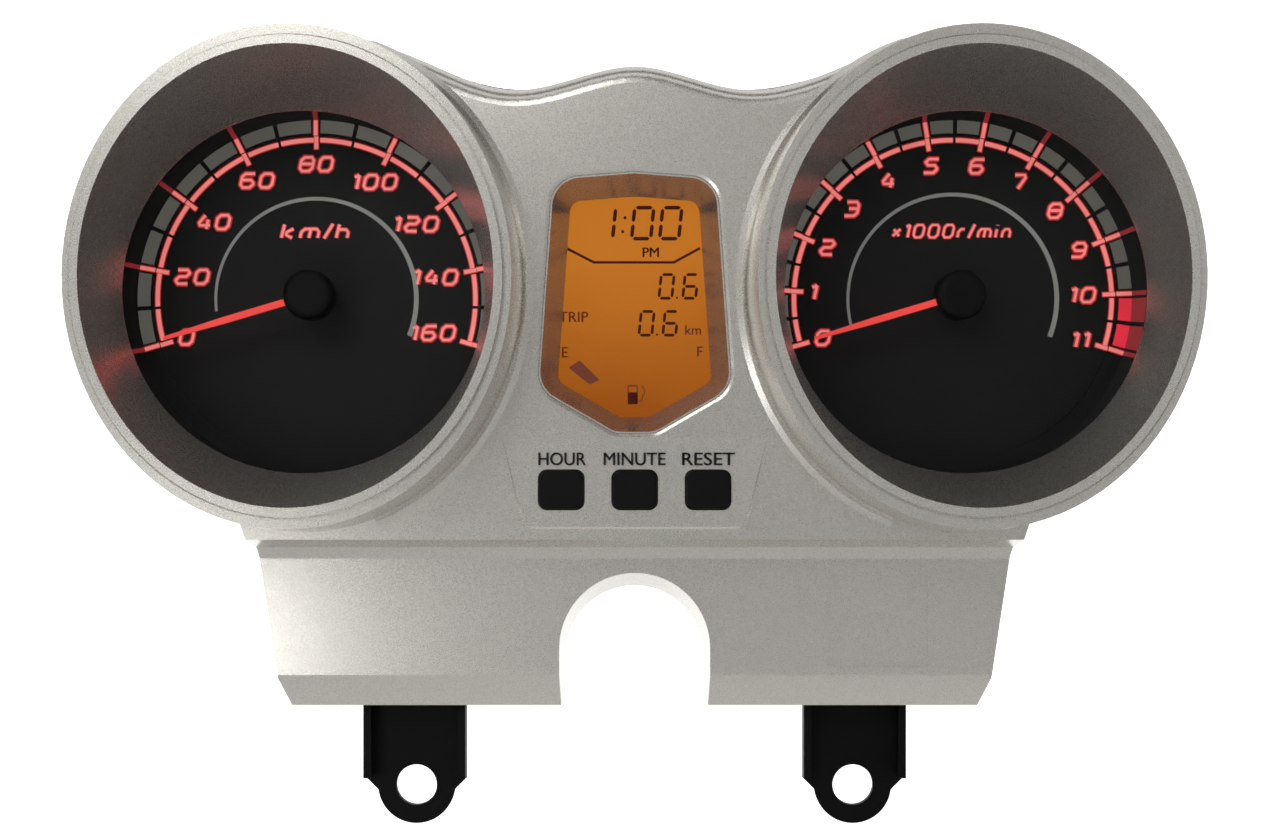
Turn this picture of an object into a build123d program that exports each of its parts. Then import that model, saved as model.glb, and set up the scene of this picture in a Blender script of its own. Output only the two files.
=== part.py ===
from build123d import *
from math import cos, degrees, atan, radians, sin
import os

# Motorcycle instrument cluster: a speedometer and a tachometer in two deep pods, a liquid
# crystal panel with three buttons between them, and two steel legs that hold it.
# X is to the rider's right, Z is up and Y points away from the rider. The origin is midway
# between the two leg holes. Heights are measured from the legs towards the rider, along -Y.

os.makedirs("parts", exist_ok=True)

# ---- outline of the cover ----
POD_SPACING = 167.8
DIAL_Z = 128.5
RIM_Z = 130.1
RIM_INNER_X, RIM_INNER_Z = 50.0, 55.8
RIM_OUTER_X, RIM_OUTER_Z = 54.2, 61.0
POD_BASE_X, POD_BASE_Z = 57.0, 63.2
CUP_R = 46.0
BEAD_W, BEAD_RISE = 2.1, 1.6
GROOVE_W, GROOVE_D = 0.6, 0.7
WALL = 2.4

# ---- heights above the plane of the legs ----
RIM_H = 45.0
FACE_H = 23.0
CUP_H = 21.5
SPLIT_H = 12.0
APRON_H = 12.0
LIP_H = 8.5
SKIRT_H = 1.0
DIAL_H = 1.8
BOARD_H = -4.0
BRIDGE_BACK_H = -28.0
BACK_H = -35.0

# ---- bridge, apron and key arch ----
BRIDGE_CREST_Z, BRIDGE_DIP_Z, SHOULDER_Z = 186.2, 180.2, 192.6
BRIDGE_DIP_X = 30.5
DIP_LIFT = 1.5
BRIDGE_EDGE_R = 5.0
SHOULDER_R = 2.4
STEP_TOP_Z, STEP_FOOT_Z = 65.8, 61.5
HIP_Z = 71.5
APRON_TOP_OUT, APRON_FOOT_OUT = 13.3, 8.3
LIP_TOP_Z, APRON_FOOT_Z = 30.4, 22.2
ARCH_R, ARCH_TOP_Z = 19.5, 56.8
ARCH_SIDE_DRAFT, ARCH_TOP_DRAFT = 1.3, 3.9
RECESS_W, RECESS_H, RECESS_DEPTH = 25.8, 23.8, 0.6
RECESS_X, RECESS_Z = 62.8, 44.4

# ---- display window ----
WINDOW_TOP_Z, WINDOW_FOOT_Z = 158.6, 92.8
WINDOW_TOP_HALF, WINDOW_WIDE_HALF = 20.6, 24.4
WINDOW_WIDE_Z, WINDOW_FOOT_HALF = 104.0, 5.0
WINDOW_DEPTH, WINDOW_DRAFT = 12.5, 4.3
WINDOW_CORNER_R, WINDOW_TIP_R = 7.5, 6.0
WINDOW_LIPS = ((1.1, 0.3), (0.6, 0.7))
GLASS_MARGIN = 1.6
LENS_PLATE_T = 1.5
GLASS_T = 2.2
DIFFUSER_T = 3.4
FRAME_WALL = 1.2

# ---- buttons ----
BUTTON_W, BUTTON_H, BUTTON_R = 11.3, 9.8, 2.3
BUTTON_PITCH = 18.5
BUTTON_Z = 78.4
BUTTON_PROUD = 0.8
BUTTON_GAP = 0.25
BUTTON_TRAVEL = 0.9
PLATE_RISE, PLATE_CORNER_R, PLATE_SIDE_DRAFT = 1.0, 4.0, 42.0
PLATE_TOP_HALF, PLATE_FOOT_HALF = 33.4, 28.2
PLATE_TOP_Z, PLATE_FOOT_Z = 91.5, 68.2
FLANGE_OUT, FLANGE_T = 0.9, 1.2
ROD_R = 2.0
STEM_R, STEM_RISE = 1.7, 1.4
SWITCH_SIZE, SWITCH_T = 6.2, 3.5

# ---- gauges ----
LENS_SEAT_W, LENS_T = 1.5, 2.0
LENS_GAP = 0.15
DIAL_MARGIN, DIAL_T = 0.5, 0.6
RING_INNER_R, RING_FLAT_R, RING_OUTER_R = 42.9, 47.0, 51.5
RING_T, RING_RISE = 0.8, 3.6
SHROUD_T = 1.4
GUIDE_T, GUIDE_R = 3.0, 50.5
POINTER_ANGLE = 196.6
POINTER_H, POINTER_T = 12.6, 1.2
POINTER_REACH, POINTER_BROAD_END = 39.0, 23.0
POINTER_BROAD_W, POINTER_TIP_W = 1.7, 0.8
HUB_R, HUB_H, HUB_T = 6.5, 10.5, 6.0
SPINDLE_R, SPINDLE_GAP = 0.75, 0.05
MAGNET_R, MAGNET_T = 6.0, 4.0
MAGNET_GAP = 0.8
BOBBIN_W, BOBBIN_DEPTH = 19.0, 16.0
COIL_W, COIL_T = 7.0, 1.0
SHIELD_R, SHIELD_T = 15.2, 0.7

GUIDE_FOOT_R, GUIDE_FOOT_W = 46.0, 4.0
PIVOT_GAP = 0.1
STRIP_W, STRIP_LENGTH = 2.4, 26.0

# ---- board and housing ----
BOARD_R, BOARD_TOP_Z, BOARD_FOOT_Z = 49.0, 158.0, 72.5
BOARD_NECK = 60.0
BOARD_SPOT_R = 43.0
LED_RING_R, LED_COUNT, LED_W, LED_T, LED_PITCH = 36.0, 9, 2.8, 1.0, 14.0
CHIP_W, CHIP_T, CHIP_Z = 14.0, 1.6, 98.0
HEADER_W, HEADER_H, HEADER_Z = 30.0, 12.0, 124.0
HEADER_WALL, HEADER_PROUD, HEADER_DEPTH, HEADER_GAP = 1.5, 3.0, 10.0, 0.4
POD_TAPER = 2.2
SEAL_INSET, SEAL_W, SEAL_T = 0.6, 1.2, 1.0
VENT_R, VENT_STEM_R, VENT_T, VENT_Z = 5.0, 2.0, 2.2, 105.0

# ---- screws and legs ----
BOSS_R, SCREW_R, SCREW_HEAD_R, SCREW_HEAD_T = 3.4, 1.45, 2.5, 2.0
SCREW_GAP = 0.25
SCREW_BITE = 7.0
POST_R = 3.0
LEG_SPACING = 115.6
LEG_W, LEG_T, LEG_FLANGE = 26.8, 2.0, 5.0
LEG_HOLE_R, LEG_TAB_R = 5.35, 10.2
LEG_TOP_Z, LEG_SHOULDER_Z = 58.0, -1.5
MOUNT_Z = 45.0
BOLT_R, COLLAR_WALL, GROMMET_WALL = 3.0, 1.2, 2.3
LUG_T, LUG_GAP = 4.0, 3.0
GROMMET_LIP = 1.2
LEG_SHOULDER_CUT, LEG_FLANGE_FOOT_Z = 3.5, 2.5
STEM_SUNK = 0.8
BOARD_SCREW_HEAD_T, WASHER_T, BOLT_HEAD_T, NUT_T = 1.6, 1.2, 4.0, 4.5

POD_X = POD_SPACING / 2
BOARD_T = 1.6
BOARD_BACK_H = BOARD_H - BOARD_T
LENS_H = CUP_H - 0.6 - LENS_T
LENS_R = CUP_R + LENS_SEAT_W
DIAL_R = RING_OUTER_R + DIAL_MARGIN
APRON_TOP_HALF = POD_X + APRON_TOP_OUT
APRON_FOOT_HALF = POD_X + APRON_FOOT_OUT
RING_H = DIAL_H + DIAL_T
SHROUD_H = RING_H + RING_T + RING_RISE
MOVEMENT_H = BOARD_BACK_H - 2 * COIL_T - 0.4 - BOBBIN_DEPTH / 2
SHIELD_BACK_H = MOVEMENT_H - BOBBIN_DEPTH / 2 - 2 * COIL_T - SHIELD_T - 0.5
WINDOW_BACK_H = FACE_H - WINDOW_DEPTH
GLASS_H = WINDOW_BACK_H - LENS_PLATE_T - GLASS_T
LEG_X = LEG_SPACING / 2
STRIP_Z = WINDOW_TOP_Z - WINDOW_DRAFT - 1.6 + GLASS_MARGIN - STRIP_W / 2 - 1.2
FLANGE_H = FACE_H - WALL - FLANGE_T - PIVOT_GAP
SCREW_SEAT_H = SPLIT_H - SCREW_BITE - 5.0
GROMMET_R = BOLT_R + COLLAR_WALL + GROMMET_WALL
LUG_BACK_H = -LEG_T - LUG_GAP - LUG_T
LUG_W = 2 * (GROMMET_R + GROMMET_LIP) + 5.0
POD_FOOT_Z = RIM_Z - POD_BASE_Z + 16.0
COLLAR_BACK_H = LUG_BACK_H - GROMMET_LIP - 0.2
NEEDLE_DIR = (cos(radians(POINTER_ANGLE)), 0, sin(radians(POINTER_ANGLE)))
BOARD_SPOTS = [
    (side * POD_X + BOARD_SPOT_R * cos(radians(turn)), DIAL_Z + BOARD_SPOT_R * sin(radians(turn)))
    for side in (-1, 1)
    for turn in (60, 180 + 60, 90 + 90 * side + 12)
]
HOLLOW_H = (FACE_H + RIM_H) / 2 - 4.0
SHOULDER_STEPS = (
    (FACE_H, FACE_H + 0.3 * SHOULDER_R, SHOULDER_R, 0.4 * SHOULDER_R),
    (FACE_H + 0.3 * SHOULDER_R, FACE_H + SHOULDER_R, 0.4 * SHOULDER_R, 0.0),
)
GAUGES = (("speedo", -POD_X), ("tacho", POD_X))
BUTTONS = (("hour", -BUTTON_PITCH), ("minute", 0.0), ("reset", BUTTON_PITCH))
SCREW_SPOTS = [
    (side * across, up)
    for side in (-1, 1)
    for across, up in (
        (POD_X + 20.0, RIM_Z + 52.0),
        (POD_X - 53.9, BRIDGE_DIP_Z - 10.2),
        (POD_X - 33.0, HIP_Z + 5.5),
    )
]


def front(height):
    """A plane that faces the rider, the given height in front of the legs."""
    return Plane.XZ.offset(height)


def save(piece, name):
    """Label a finished piece and write it under its own name."""
    piece.label = name
    export_step(piece, f"parts/{name}.step")


def pod_size(height, inset=0.0):
    """Half width and half height of the pods' flank at a height."""
    share = (height - SPLIT_H) / (RIM_H - BEAD_RISE - SPLIT_H)
    return (
        POD_BASE_X + (RIM_OUTER_X - POD_BASE_X) * share - inset,
        POD_BASE_Z + (RIM_OUTER_Z - POD_BASE_Z) * share - inset,
    )


def pod_flanks(low, high, inset=0.0):
    """The solid flanks of both pods between two heights, moved inwards by inset."""
    with BuildPart() as flanks:
        for x in (-POD_X, POD_X):
            for height in (low, high):
                with BuildSketch(front(height)):
                    with Locations((x, RIM_Z)):
                        Ellipse(*pod_size(height, inset))
            loft()
    return flanks.part


def cups(outset=0.0):
    """The space inside both pods, from the rim down to the lens."""
    with BuildPart() as space:
        for x in (-POD_X, POD_X):
            with BuildSketch(front(CUP_H)):
                with Locations((x, DIAL_Z)):
                    Circle(CUP_R + outset)
            with BuildSketch(front(RIM_H)):
                with Locations((x, RIM_Z)):
                    Ellipse(RIM_INNER_X + outset, RIM_INNER_Z + outset)
            loft()
    return space.part


def housing_foot(inset=0.0):
    """Where the housing's outline runs below the waved top, on the right side."""
    return [(POD_X, RIM_Z), (POD_X - 20.0, RIM_Z - POD_BASE_Z + inset)]


def body_outline(foot, drop=0.0, lift=0.0):
    """The outline between the pods: a waved top, lowered by drop and with its dips raised
    by lift, then the right side's points and their mirror image."""
    dip_z = BRIDGE_DIP_Z - drop + lift
    with BuildSketch() as outline:
        with BuildLine():
            wave = Spline(
                (-POD_X, SHOULDER_Z - drop),
                (-POD_X + 20, SHOULDER_Z - 1.4 - drop),
                (-BRIDGE_DIP_X, dip_z),
                (0, BRIDGE_CREST_Z - drop),
                (BRIDGE_DIP_X, dip_z),
                (POD_X - 20, SHOULDER_Z - 1.4 - drop),
                (POD_X, SHOULDER_Z - drop),
                tangents=[(1, 0), (1, 0)],
            )
            left = [(-x, z) for x, z in reversed(foot)]
            Polyline(wave @ 1, *foot, *left, wave @ 0)
        make_face()
    return outline.sketch


def arch(outset=0.0):
    """The drafted opening for the ignition lock."""
    with BuildPart() as opening:
        for height, radius, top in (
            (SKIRT_H, ARCH_R - ARCH_SIDE_DRAFT, ARCH_TOP_Z - ARCH_TOP_DRAFT),
            (APRON_H, ARCH_R, ARCH_TOP_Z),
        ):
            r = radius + outset
            spring = top - radius
            with BuildSketch(front(height)):
                with BuildLine():
                    Polyline((-r, spring), (-r, 0), (r, 0), (r, spring))
                    ThreePointArc((-r, spring), (0, spring + r), (r, spring))
                make_face()
        loft()
    return opening.part


def window_outline(outset=0.0):
    """The shield-shaped outline of the display window."""
    with BuildSketch() as outline:
        with BuildLine():
            Polyline(
                (-WINDOW_TOP_HALF, WINDOW_TOP_Z - 1.6),
                (0, WINDOW_TOP_Z),
                (WINDOW_TOP_HALF, WINDOW_TOP_Z - 1.6),
                (WINDOW_WIDE_HALF, WINDOW_WIDE_Z),
                (WINDOW_FOOT_HALF, WINDOW_FOOT_Z),
                (-WINDOW_FOOT_HALF, WINDOW_FOOT_Z),
                (-WINDOW_WIDE_HALF, WINDOW_WIDE_Z),
                close=True,
            )
        make_face()
        sides = outline.vertices().filter_by(lambda v: abs(v.X) > WINDOW_FOOT_HALF + 1)
        fillet(sides, WINDOW_CORNER_R)
        fillet(outline.vertices().group_by(Axis.Y)[0], WINDOW_TIP_R)
        if outset:
            offset(amount=outset, kind=Kind.ARC)
    return outline.sketch


def window_well(outset=0.0):
    """The tapered well from the bridge's face down to the display."""
    with BuildPart() as well:
        with BuildSketch(front(FACE_H)):
            add(window_outline(outset))
        slope = degrees(atan(WINDOW_DRAFT / WINDOW_DEPTH))
        extrude(amount=-WINDOW_DEPTH, taper=slope)
    return well.part


def window_lip():
    """The rounding of the well's front edge, in bevels that are each steeper than the last."""
    with BuildPart() as lip:
        for wide, deep in WINDOW_LIPS:
            with BuildSketch(front(FACE_H)):
                add(window_outline(wide))
            extrude(amount=-deep, taper=degrees(atan(wide / deep)) * 0.9)
    return lip.part


def shoulder(low, high, wide, narrow):
    """One step of the cove where the pods' flanks meet the bridge's face."""
    with BuildPart() as cove:
        for x in (-POD_X, POD_X):
            for height, spread in ((low, wide), (high, narrow)):
                with BuildSketch(front(height)):
                    with Locations((x, RIM_Z)):
                        Ellipse(*pod_size(height, -spread))
            loft()
        with BuildSketch(front(low)):
            add(body_outline(housing_foot()))
        extrude(amount=high - low, mode=Mode.INTERSECT)
    return cove.part


def housing_pods(inset):
    """The tubs behind both pods, moved inwards by inset."""
    with BuildPart() as tubs:
        for x in (-POD_X, POD_X):
            for height, taper in ((SPLIT_H, 0.0), (BACK_H + inset, POD_TAPER)):
                with BuildSketch(front(height)):
                    with Locations((x, RIM_Z)):
                        Ellipse(POD_BASE_X - taper - inset, POD_BASE_Z - taper - inset)
            loft()
    return tubs.part


def seal_outline():
    """The closed strip that runs round the joint of the cover and the housing."""
    with BuildSketch() as strip:
        for inset, mode in ((SEAL_INSET, Mode.ADD), (SEAL_INSET + SEAL_W, Mode.SUBTRACT)):
            add(body_outline(housing_foot(inset), inset), mode=mode)
            with Locations((-POD_X, RIM_Z), (POD_X, RIM_Z)):
                Ellipse(POD_BASE_X - inset, POD_BASE_Z - inset, mode=mode)
    return strip.sketch


def button_plate():
    """The wedge that carries the three buttons, flush at its top and proud at its foot."""
    with BuildPart() as plate:
        with BuildSketch(front(FACE_H)) as outline:
            Polygon(
                (-PLATE_TOP_HALF, PLATE_TOP_Z),
                (PLATE_TOP_HALF, PLATE_TOP_Z),
                (PLATE_FOOT_HALF, PLATE_FOOT_Z),
                (-PLATE_FOOT_HALF, PLATE_FOOT_Z),
                align=None,
            )
            fillet(outline.vertices().group_by(Axis.Y)[0], PLATE_CORNER_R)
        extrude(amount=PLATE_RISE, taper=PLATE_SIDE_DRAFT)
        with BuildSketch(Plane.YZ):
            Polygon(
                (-FACE_H, PLATE_TOP_Z),
                (-FACE_H - PLATE_RISE, PLATE_FOOT_Z),
                (-FACE_H, PLATE_FOOT_Z),
                align=None,
            )
        extrude(amount=2 * PLATE_TOP_HALF, both=True, mode=Mode.INTERSECT)
    return plate.part


# ---- front cover: outside shape, hollow, then the finished shell ----
COVER_FOOT = [
    (POD_X, RIM_Z),
    (APRON_TOP_HALF + 3.0, HIP_Z),
    (APRON_TOP_HALF, STEP_FOOT_Z + 1.0),
    (APRON_FOOT_HALF, LIP_TOP_Z - 1.0),
    (APRON_FOOT_HALF - 3.0, APRON_FOOT_Z),
]

with BuildPart() as cover_slab:
    with BuildSketch(front(SKIRT_H)):
        add(body_outline(COVER_FOOT))
    extrude(amount=FACE_H - SKIRT_H)
    with BuildSketch(Plane.YZ):
        Polygon(
            (-FACE_H, BRIDGE_CREST_Z + 20),
            (-FACE_H, STEP_TOP_Z),
            (-APRON_H - 1.5, STEP_FOOT_Z + 2.0),
            (-APRON_H, STEP_FOOT_Z - 1.0),
            (-APRON_H, LIP_TOP_Z),
            (-LIP_H, APRON_FOOT_Z),
            (-SKIRT_H, APRON_FOOT_Z),
            (-SKIRT_H, STEP_FOOT_Z + 1.5),
            (-SPLIT_H, STEP_FOOT_Z + 1.5),
            (-SPLIT_H, BRIDGE_CREST_Z + 20),
            align=None,
        )
    extrude(amount=2 * POD_SPACING, both=True, mode=Mode.INTERSECT)
    crest = cover_slab.edges().filter_by(GeomType.BSPLINE)
    fillet(crest.sort_by(Axis.Y)[0], BRIDGE_EDGE_R)

with BuildPart() as cover_body:
    add(cover_slab.part)
    add(pod_flanks(SPLIT_H, RIM_H - BEAD_RISE))

    for low, high, wide, narrow in SHOULDER_STEPS:
        add(shoulder(low, high, wide, narrow))
    add(window_well(WALL))
    add(button_plate())
    with BuildSketch(front(LENS_H)):
        with Locations((-POD_X, DIAL_Z), (POD_X, DIAL_Z)):
            Circle(LENS_R + WALL)
    extrude(amount=CUP_H - LENS_H)
    with BuildSketch(front(RIM_H - BEAD_RISE)):
        with Locations((-POD_X, RIM_Z), (POD_X, RIM_Z)):
            Ellipse(RIM_INNER_X + BEAD_W, RIM_INNER_Z + BEAD_W)
    extrude(amount=BEAD_RISE)

with BuildPart() as cover_hollow:
    add(pod_flanks(SPLIT_H, HOLLOW_H, WALL))
    with BuildSketch(front(SPLIT_H)):
        add(body_outline(housing_foot(WALL), WALL))
    extrude(amount=FACE_H - WALL - SPLIT_H)
    add(cups(WALL), mode=Mode.SUBTRACT)
    add(window_well(WALL), mode=Mode.SUBTRACT)
    with BuildSketch(front(LENS_H)):
        with Locations((-POD_X, DIAL_Z), (POD_X, DIAL_Z)):
            Circle(LENS_R + WALL)
    extrude(amount=FACE_H, mode=Mode.SUBTRACT)
    with BuildSketch(front(SPLIT_H)):
        with Locations(*SCREW_SPOTS):
            Circle(BOSS_R)
    extrude(amount=FACE_H, mode=Mode.SUBTRACT)

with BuildPart() as apron_hollow:
    with BuildSketch(front(SKIRT_H)):
        Polygon(
            (-APRON_TOP_HALF + WALL, STEP_FOOT_Z - WALL / 2),
            (APRON_TOP_HALF - WALL, STEP_FOOT_Z - WALL / 2),
            (APRON_FOOT_HALF - WALL, LIP_TOP_Z),
            (APRON_FOOT_HALF - WALL - 3.0, APRON_FOOT_Z),
            (-APRON_FOOT_HALF + WALL + 3.0, APRON_FOOT_Z),
            (-APRON_FOOT_HALF + WALL, LIP_TOP_Z),
            align=None,
        )
    extrude(amount=APRON_H - SKIRT_H)
    with BuildSketch(Plane.YZ):
        Polygon(
            (-APRON_H + WALL, STEP_FOOT_Z),
            (-APRON_H + WALL, LIP_TOP_Z + 0.5),
            (-LIP_H + WALL, APRON_FOOT_Z),
            (-SKIRT_H, APRON_FOOT_Z),
            (-SKIRT_H, STEP_FOOT_Z),
            align=None,
        )
    extrude(amount=2 * POD_SPACING, both=True, mode=Mode.INTERSECT)
    add(arch(WALL), mode=Mode.SUBTRACT)

with BuildPart() as front_cover:
    add(cover_body.part)
    add(cover_hollow.part, mode=Mode.SUBTRACT)
    add(apron_hollow.part, mode=Mode.SUBTRACT)
    add(arch(), mode=Mode.SUBTRACT)
    add(cups(), mode=Mode.SUBTRACT)
    add(window_well(), mode=Mode.SUBTRACT)
    add(window_lip(), mode=Mode.SUBTRACT)
    with BuildSketch(front(CUP_H)):
        with Locations((-POD_X, DIAL_Z), (POD_X, DIAL_Z)):
            Circle(CUP_R)
    extrude(amount=-FACE_H, mode=Mode.SUBTRACT)
    with BuildSketch(front(LENS_H + LENS_T)):
        with Locations((-POD_X, DIAL_Z), (POD_X, DIAL_Z)):
            Circle(LENS_R + LENS_GAP)
    extrude(amount=-FACE_H, mode=Mode.SUBTRACT)
    with BuildSketch(front(FACE_H + PLATE_RISE)):
        with GridLocations(BUTTON_PITCH, 1, 3, 1):
            with Locations((0, BUTTON_Z)):
                RectangleRounded(BUTTON_W + 2 * BUTTON_GAP, BUTTON_H + 2 * BUTTON_GAP, BUTTON_R)
    extrude(amount=SPLIT_H - FACE_H - PLATE_RISE, mode=Mode.SUBTRACT)
    with BuildSketch(front(APRON_H)):
        with Locations((RECESS_X, RECESS_Z)):
            RectangleRounded(RECESS_W, RECESS_H, 0.8)
    extrude(amount=-RECESS_DEPTH, mode=Mode.SUBTRACT)
    with BuildSketch(front(RIM_H - BEAD_RISE)):
        with Locations((-POD_X, RIM_Z), (POD_X, RIM_Z)):
            groove = BEAD_W + GROOVE_W
            Ellipse(RIM_INNER_X + groove, RIM_INNER_Z + groove)
            Ellipse(RIM_INNER_X + BEAD_W, RIM_INNER_Z + BEAD_W, mode=Mode.SUBTRACT)
    extrude(amount=-GROOVE_D, mode=Mode.SUBTRACT)
    with BuildSketch(front(SPLIT_H)):
        with Locations(*SCREW_SPOTS):
            Circle(SCREW_R)
    extrude(amount=SCREW_BITE, mode=Mode.SUBTRACT)
save(front_cover.part, "front_cover")

# ---- gauges: each pod holds a lens, a dial and a crossed-coil movement ----
for gauge, pod_x in GAUGES:
    axis = (pod_x, DIAL_Z)

    with BuildPart() as lens:
        with BuildSketch(front(LENS_H)):
            with Locations(axis):
                Circle(LENS_R)
        extrude(amount=LENS_T)
    save(lens.part, f"{gauge}_lens")

    with BuildPart() as shroud:
        with BuildSketch(Plane((pod_x, 0, DIAL_Z), x_dir=(1, 0, 0), z_dir=(0, 0, 1))):
            Polygon(
                (CUP_R + 0.4, -LENS_H),
                (CUP_R + 0.4 + SHROUD_T, -LENS_H),
                (RING_OUTER_R + SHROUD_T, -SHROUD_H),
                (RING_OUTER_R, -SHROUD_H),
                align=None,
            )
        revolve(axis=Axis((pod_x, 0, DIAL_Z), (0, 1, 0)))
    save(shroud.part, f"{gauge}_shroud")

    with BuildPart() as chapter_ring:
        with BuildSketch(Plane((pod_x, 0, DIAL_Z), x_dir=(1, 0, 0), z_dir=(0, 0, 1))):
            Polygon(
                (RING_INNER_R, -RING_H),
                (RING_OUTER_R, -RING_H),
                (RING_OUTER_R, -SHROUD_H),
                (RING_FLAT_R, -RING_H - RING_T),
                (RING_INNER_R, -RING_H - RING_T),
                align=None,
            )
        revolve(axis=Axis((pod_x, 0, DIAL_Z), (0, 1, 0)))
    save(chapter_ring.part, f"{gauge}_chapter_ring")

    with BuildPart() as dial:
        with BuildSketch(front(DIAL_H)):
            with Locations(axis):
                Circle(DIAL_R)
                Circle(SPINDLE_R + 1.0, mode=Mode.SUBTRACT)
        extrude(amount=DIAL_T)
    save(dial.part, f"{gauge}_dial")

    with BuildPart() as light_guide:
        with BuildSketch(front(DIAL_H)):
            with Locations(axis):
                Circle(GUIDE_R)
                Circle(SPINDLE_R + 2.0, mode=Mode.SUBTRACT)
        extrude(amount=-GUIDE_T)
        with BuildSketch(front(BOARD_H)):
            with Locations(axis):
                with PolarLocations(GUIDE_FOOT_R, 3, start_angle=90):
                    Circle(GUIDE_FOOT_W / 2)
        extrude(amount=DIAL_H - GUIDE_T - BOARD_H)
    save(light_guide.part, f"{gauge}_light_guide")

    # The needle lies at its zero stop, so it is drawn along that direction.
    needle_plane = Plane((pod_x, -POINTER_H, DIAL_Z), x_dir=NEEDLE_DIR, z_dir=(0, -1, 0))
    with BuildPart() as pointer:
        with BuildSketch(needle_plane):
            Polygon(
                (SPINDLE_R + 1.0, -POINTER_BROAD_W / 2),
                (POINTER_BROAD_END, -POINTER_BROAD_W / 2),
                (POINTER_REACH, -POINTER_TIP_W / 2),
                (POINTER_REACH, POINTER_TIP_W / 2),
                (POINTER_BROAD_END, POINTER_BROAD_W / 2),
                (SPINDLE_R + 1.0, POINTER_BROAD_W / 2),
                align=None,
            )
        extrude(amount=POINTER_T)
    save(pointer.part, f"{gauge}_pointer")

    with BuildPart() as hub:
        with BuildSketch(front(HUB_H)):
            with Locations(axis):
                Circle(HUB_R)
        extrude(amount=HUB_T)
        fillet(hub.faces().sort_by(Axis.Y)[0].edges(), HUB_T / 3)
        with BuildSketch(front(HUB_H)):
            with Locations(axis):
                Circle(SPINDLE_R)
        extrude(amount=HUB_T - 2.0, mode=Mode.SUBTRACT)
        add(pointer.part, mode=Mode.SUBTRACT)
    save(hub.part, f"{gauge}_hub")

    with BuildPart() as spindle:
        with BuildSketch(front(MOVEMENT_H - BOBBIN_DEPTH / 2 + 1.5)):
            with Locations(axis):
                Circle(SPINDLE_R)
        extrude(amount=HUB_H + HUB_T - 2.0 - MOVEMENT_H + BOBBIN_DEPTH / 2 - 1.5)
    save(spindle.part, f"{gauge}_spindle")

    with BuildPart() as magnet:
        with BuildSketch(front(MOVEMENT_H - MAGNET_T / 2)):
            with Locations(axis):
                Circle(MAGNET_R)
                Circle(SPINDLE_R, mode=Mode.SUBTRACT)
        extrude(amount=MAGNET_T)
    save(magnet.part, f"{gauge}_magnet")

    for half, depth in (("front", BOBBIN_DEPTH / 2), ("rear", -BOBBIN_DEPTH / 2)):
        with BuildPart() as bobbin:
            with BuildSketch(front(MOVEMENT_H)):
                with Locations(axis):
                    RectangleRounded(BOBBIN_W, BOBBIN_W, 1.5)
            extrude(amount=depth)
            with BuildSketch(front(MOVEMENT_H)):
                with Locations(axis):
                    Circle(MAGNET_R + MAGNET_GAP)
            reach = MAGNET_T / 2 + MAGNET_GAP
            extrude(amount=reach if half == "front" else -reach, mode=Mode.SUBTRACT)
            with BuildSketch(front(MOVEMENT_H)):
                with Locations(axis):
                    Circle(SPINDLE_R + SPINDLE_GAP)
            bore = depth if half == "front" else depth + 1.5 - PIVOT_GAP
            extrude(amount=bore, mode=Mode.SUBTRACT)
            if half == "front":
                with BuildSketch(front(MOVEMENT_H + depth)):
                    with Locations(axis):
                        with GridLocations(BOBBIN_W - 4, BOBBIN_W - 4, 2, 2):
                            Circle(1.2)
                extrude(amount=BOARD_BACK_H - MOVEMENT_H - depth)
        save(bobbin.part, f"{gauge}_bobbin_{half}")

    for layer, coil_plane in (
        (0, Plane((pod_x, -MOVEMENT_H, DIAL_Z), x_dir=(1, 0, 0), z_dir=(0, 0, 1))),
        (1, Plane((pod_x, -MOVEMENT_H, DIAL_Z), x_dir=(0, 0, 1), z_dir=(1, 0, 0))),
    ):
        with BuildPart() as coil:
            with BuildSketch(coil_plane):
                inside = BOBBIN_DEPTH + 2 * COIL_T * layer
                RectangleRounded(BOBBIN_W + 2 * COIL_T, inside + 2 * COIL_T, COIL_T * 0.9)
                Rectangle(BOBBIN_W, inside, mode=Mode.SUBTRACT)
            extrude(amount=COIL_W / 2, both=True)
            with BuildSketch(front(MOVEMENT_H)):
                with Locations(axis):
                    Circle(SPINDLE_R + 1.0)
            extrude(amount=BOBBIN_DEPTH, mode=Mode.SUBTRACT)
        save(coil.part, f"{gauge}_coil_{('inner', 'outer')[layer]}")

    with BuildPart() as shield:
        with BuildSketch(front(SHIELD_BACK_H)):
            with Locations(axis):
                Circle(SHIELD_R)
        extrude(amount=BOARD_BACK_H - SHIELD_BACK_H)
        with BuildSketch(front(SHIELD_BACK_H + SHIELD_T)):
            with Locations(axis):
                Circle(SHIELD_R - SHIELD_T)
        extrude(amount=BOARD_BACK_H - SHIELD_BACK_H, mode=Mode.SUBTRACT)
    save(shield.part, f"{gauge}_shield")

# ---- display: window, glass, light guide, contact strips and their frame ----
display_outset = GLASS_MARGIN - WINDOW_DRAFT
for name, low, thick, outset in (
    ("lcd_lens", WINDOW_BACK_H - LENS_PLATE_T, LENS_PLATE_T, display_outset),
    ("lcd_glass", GLASS_H, GLASS_T, display_outset),
    ("lcd_diffuser", GLASS_H - DIFFUSER_T, DIFFUSER_T, display_outset - STRIP_W),
):
    with BuildPart() as layer_plate:
        with BuildSketch(front(low)):
            add(window_outline(outset))
            if name == "lcd_diffuser":
                with Locations((0, STRIP_Z)):
                    Rectangle(STRIP_LENGTH + 0.6, STRIP_W + 0.6, mode=Mode.SUBTRACT)
        extrude(amount=thick)
    save(layer_plate.part, name)

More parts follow.
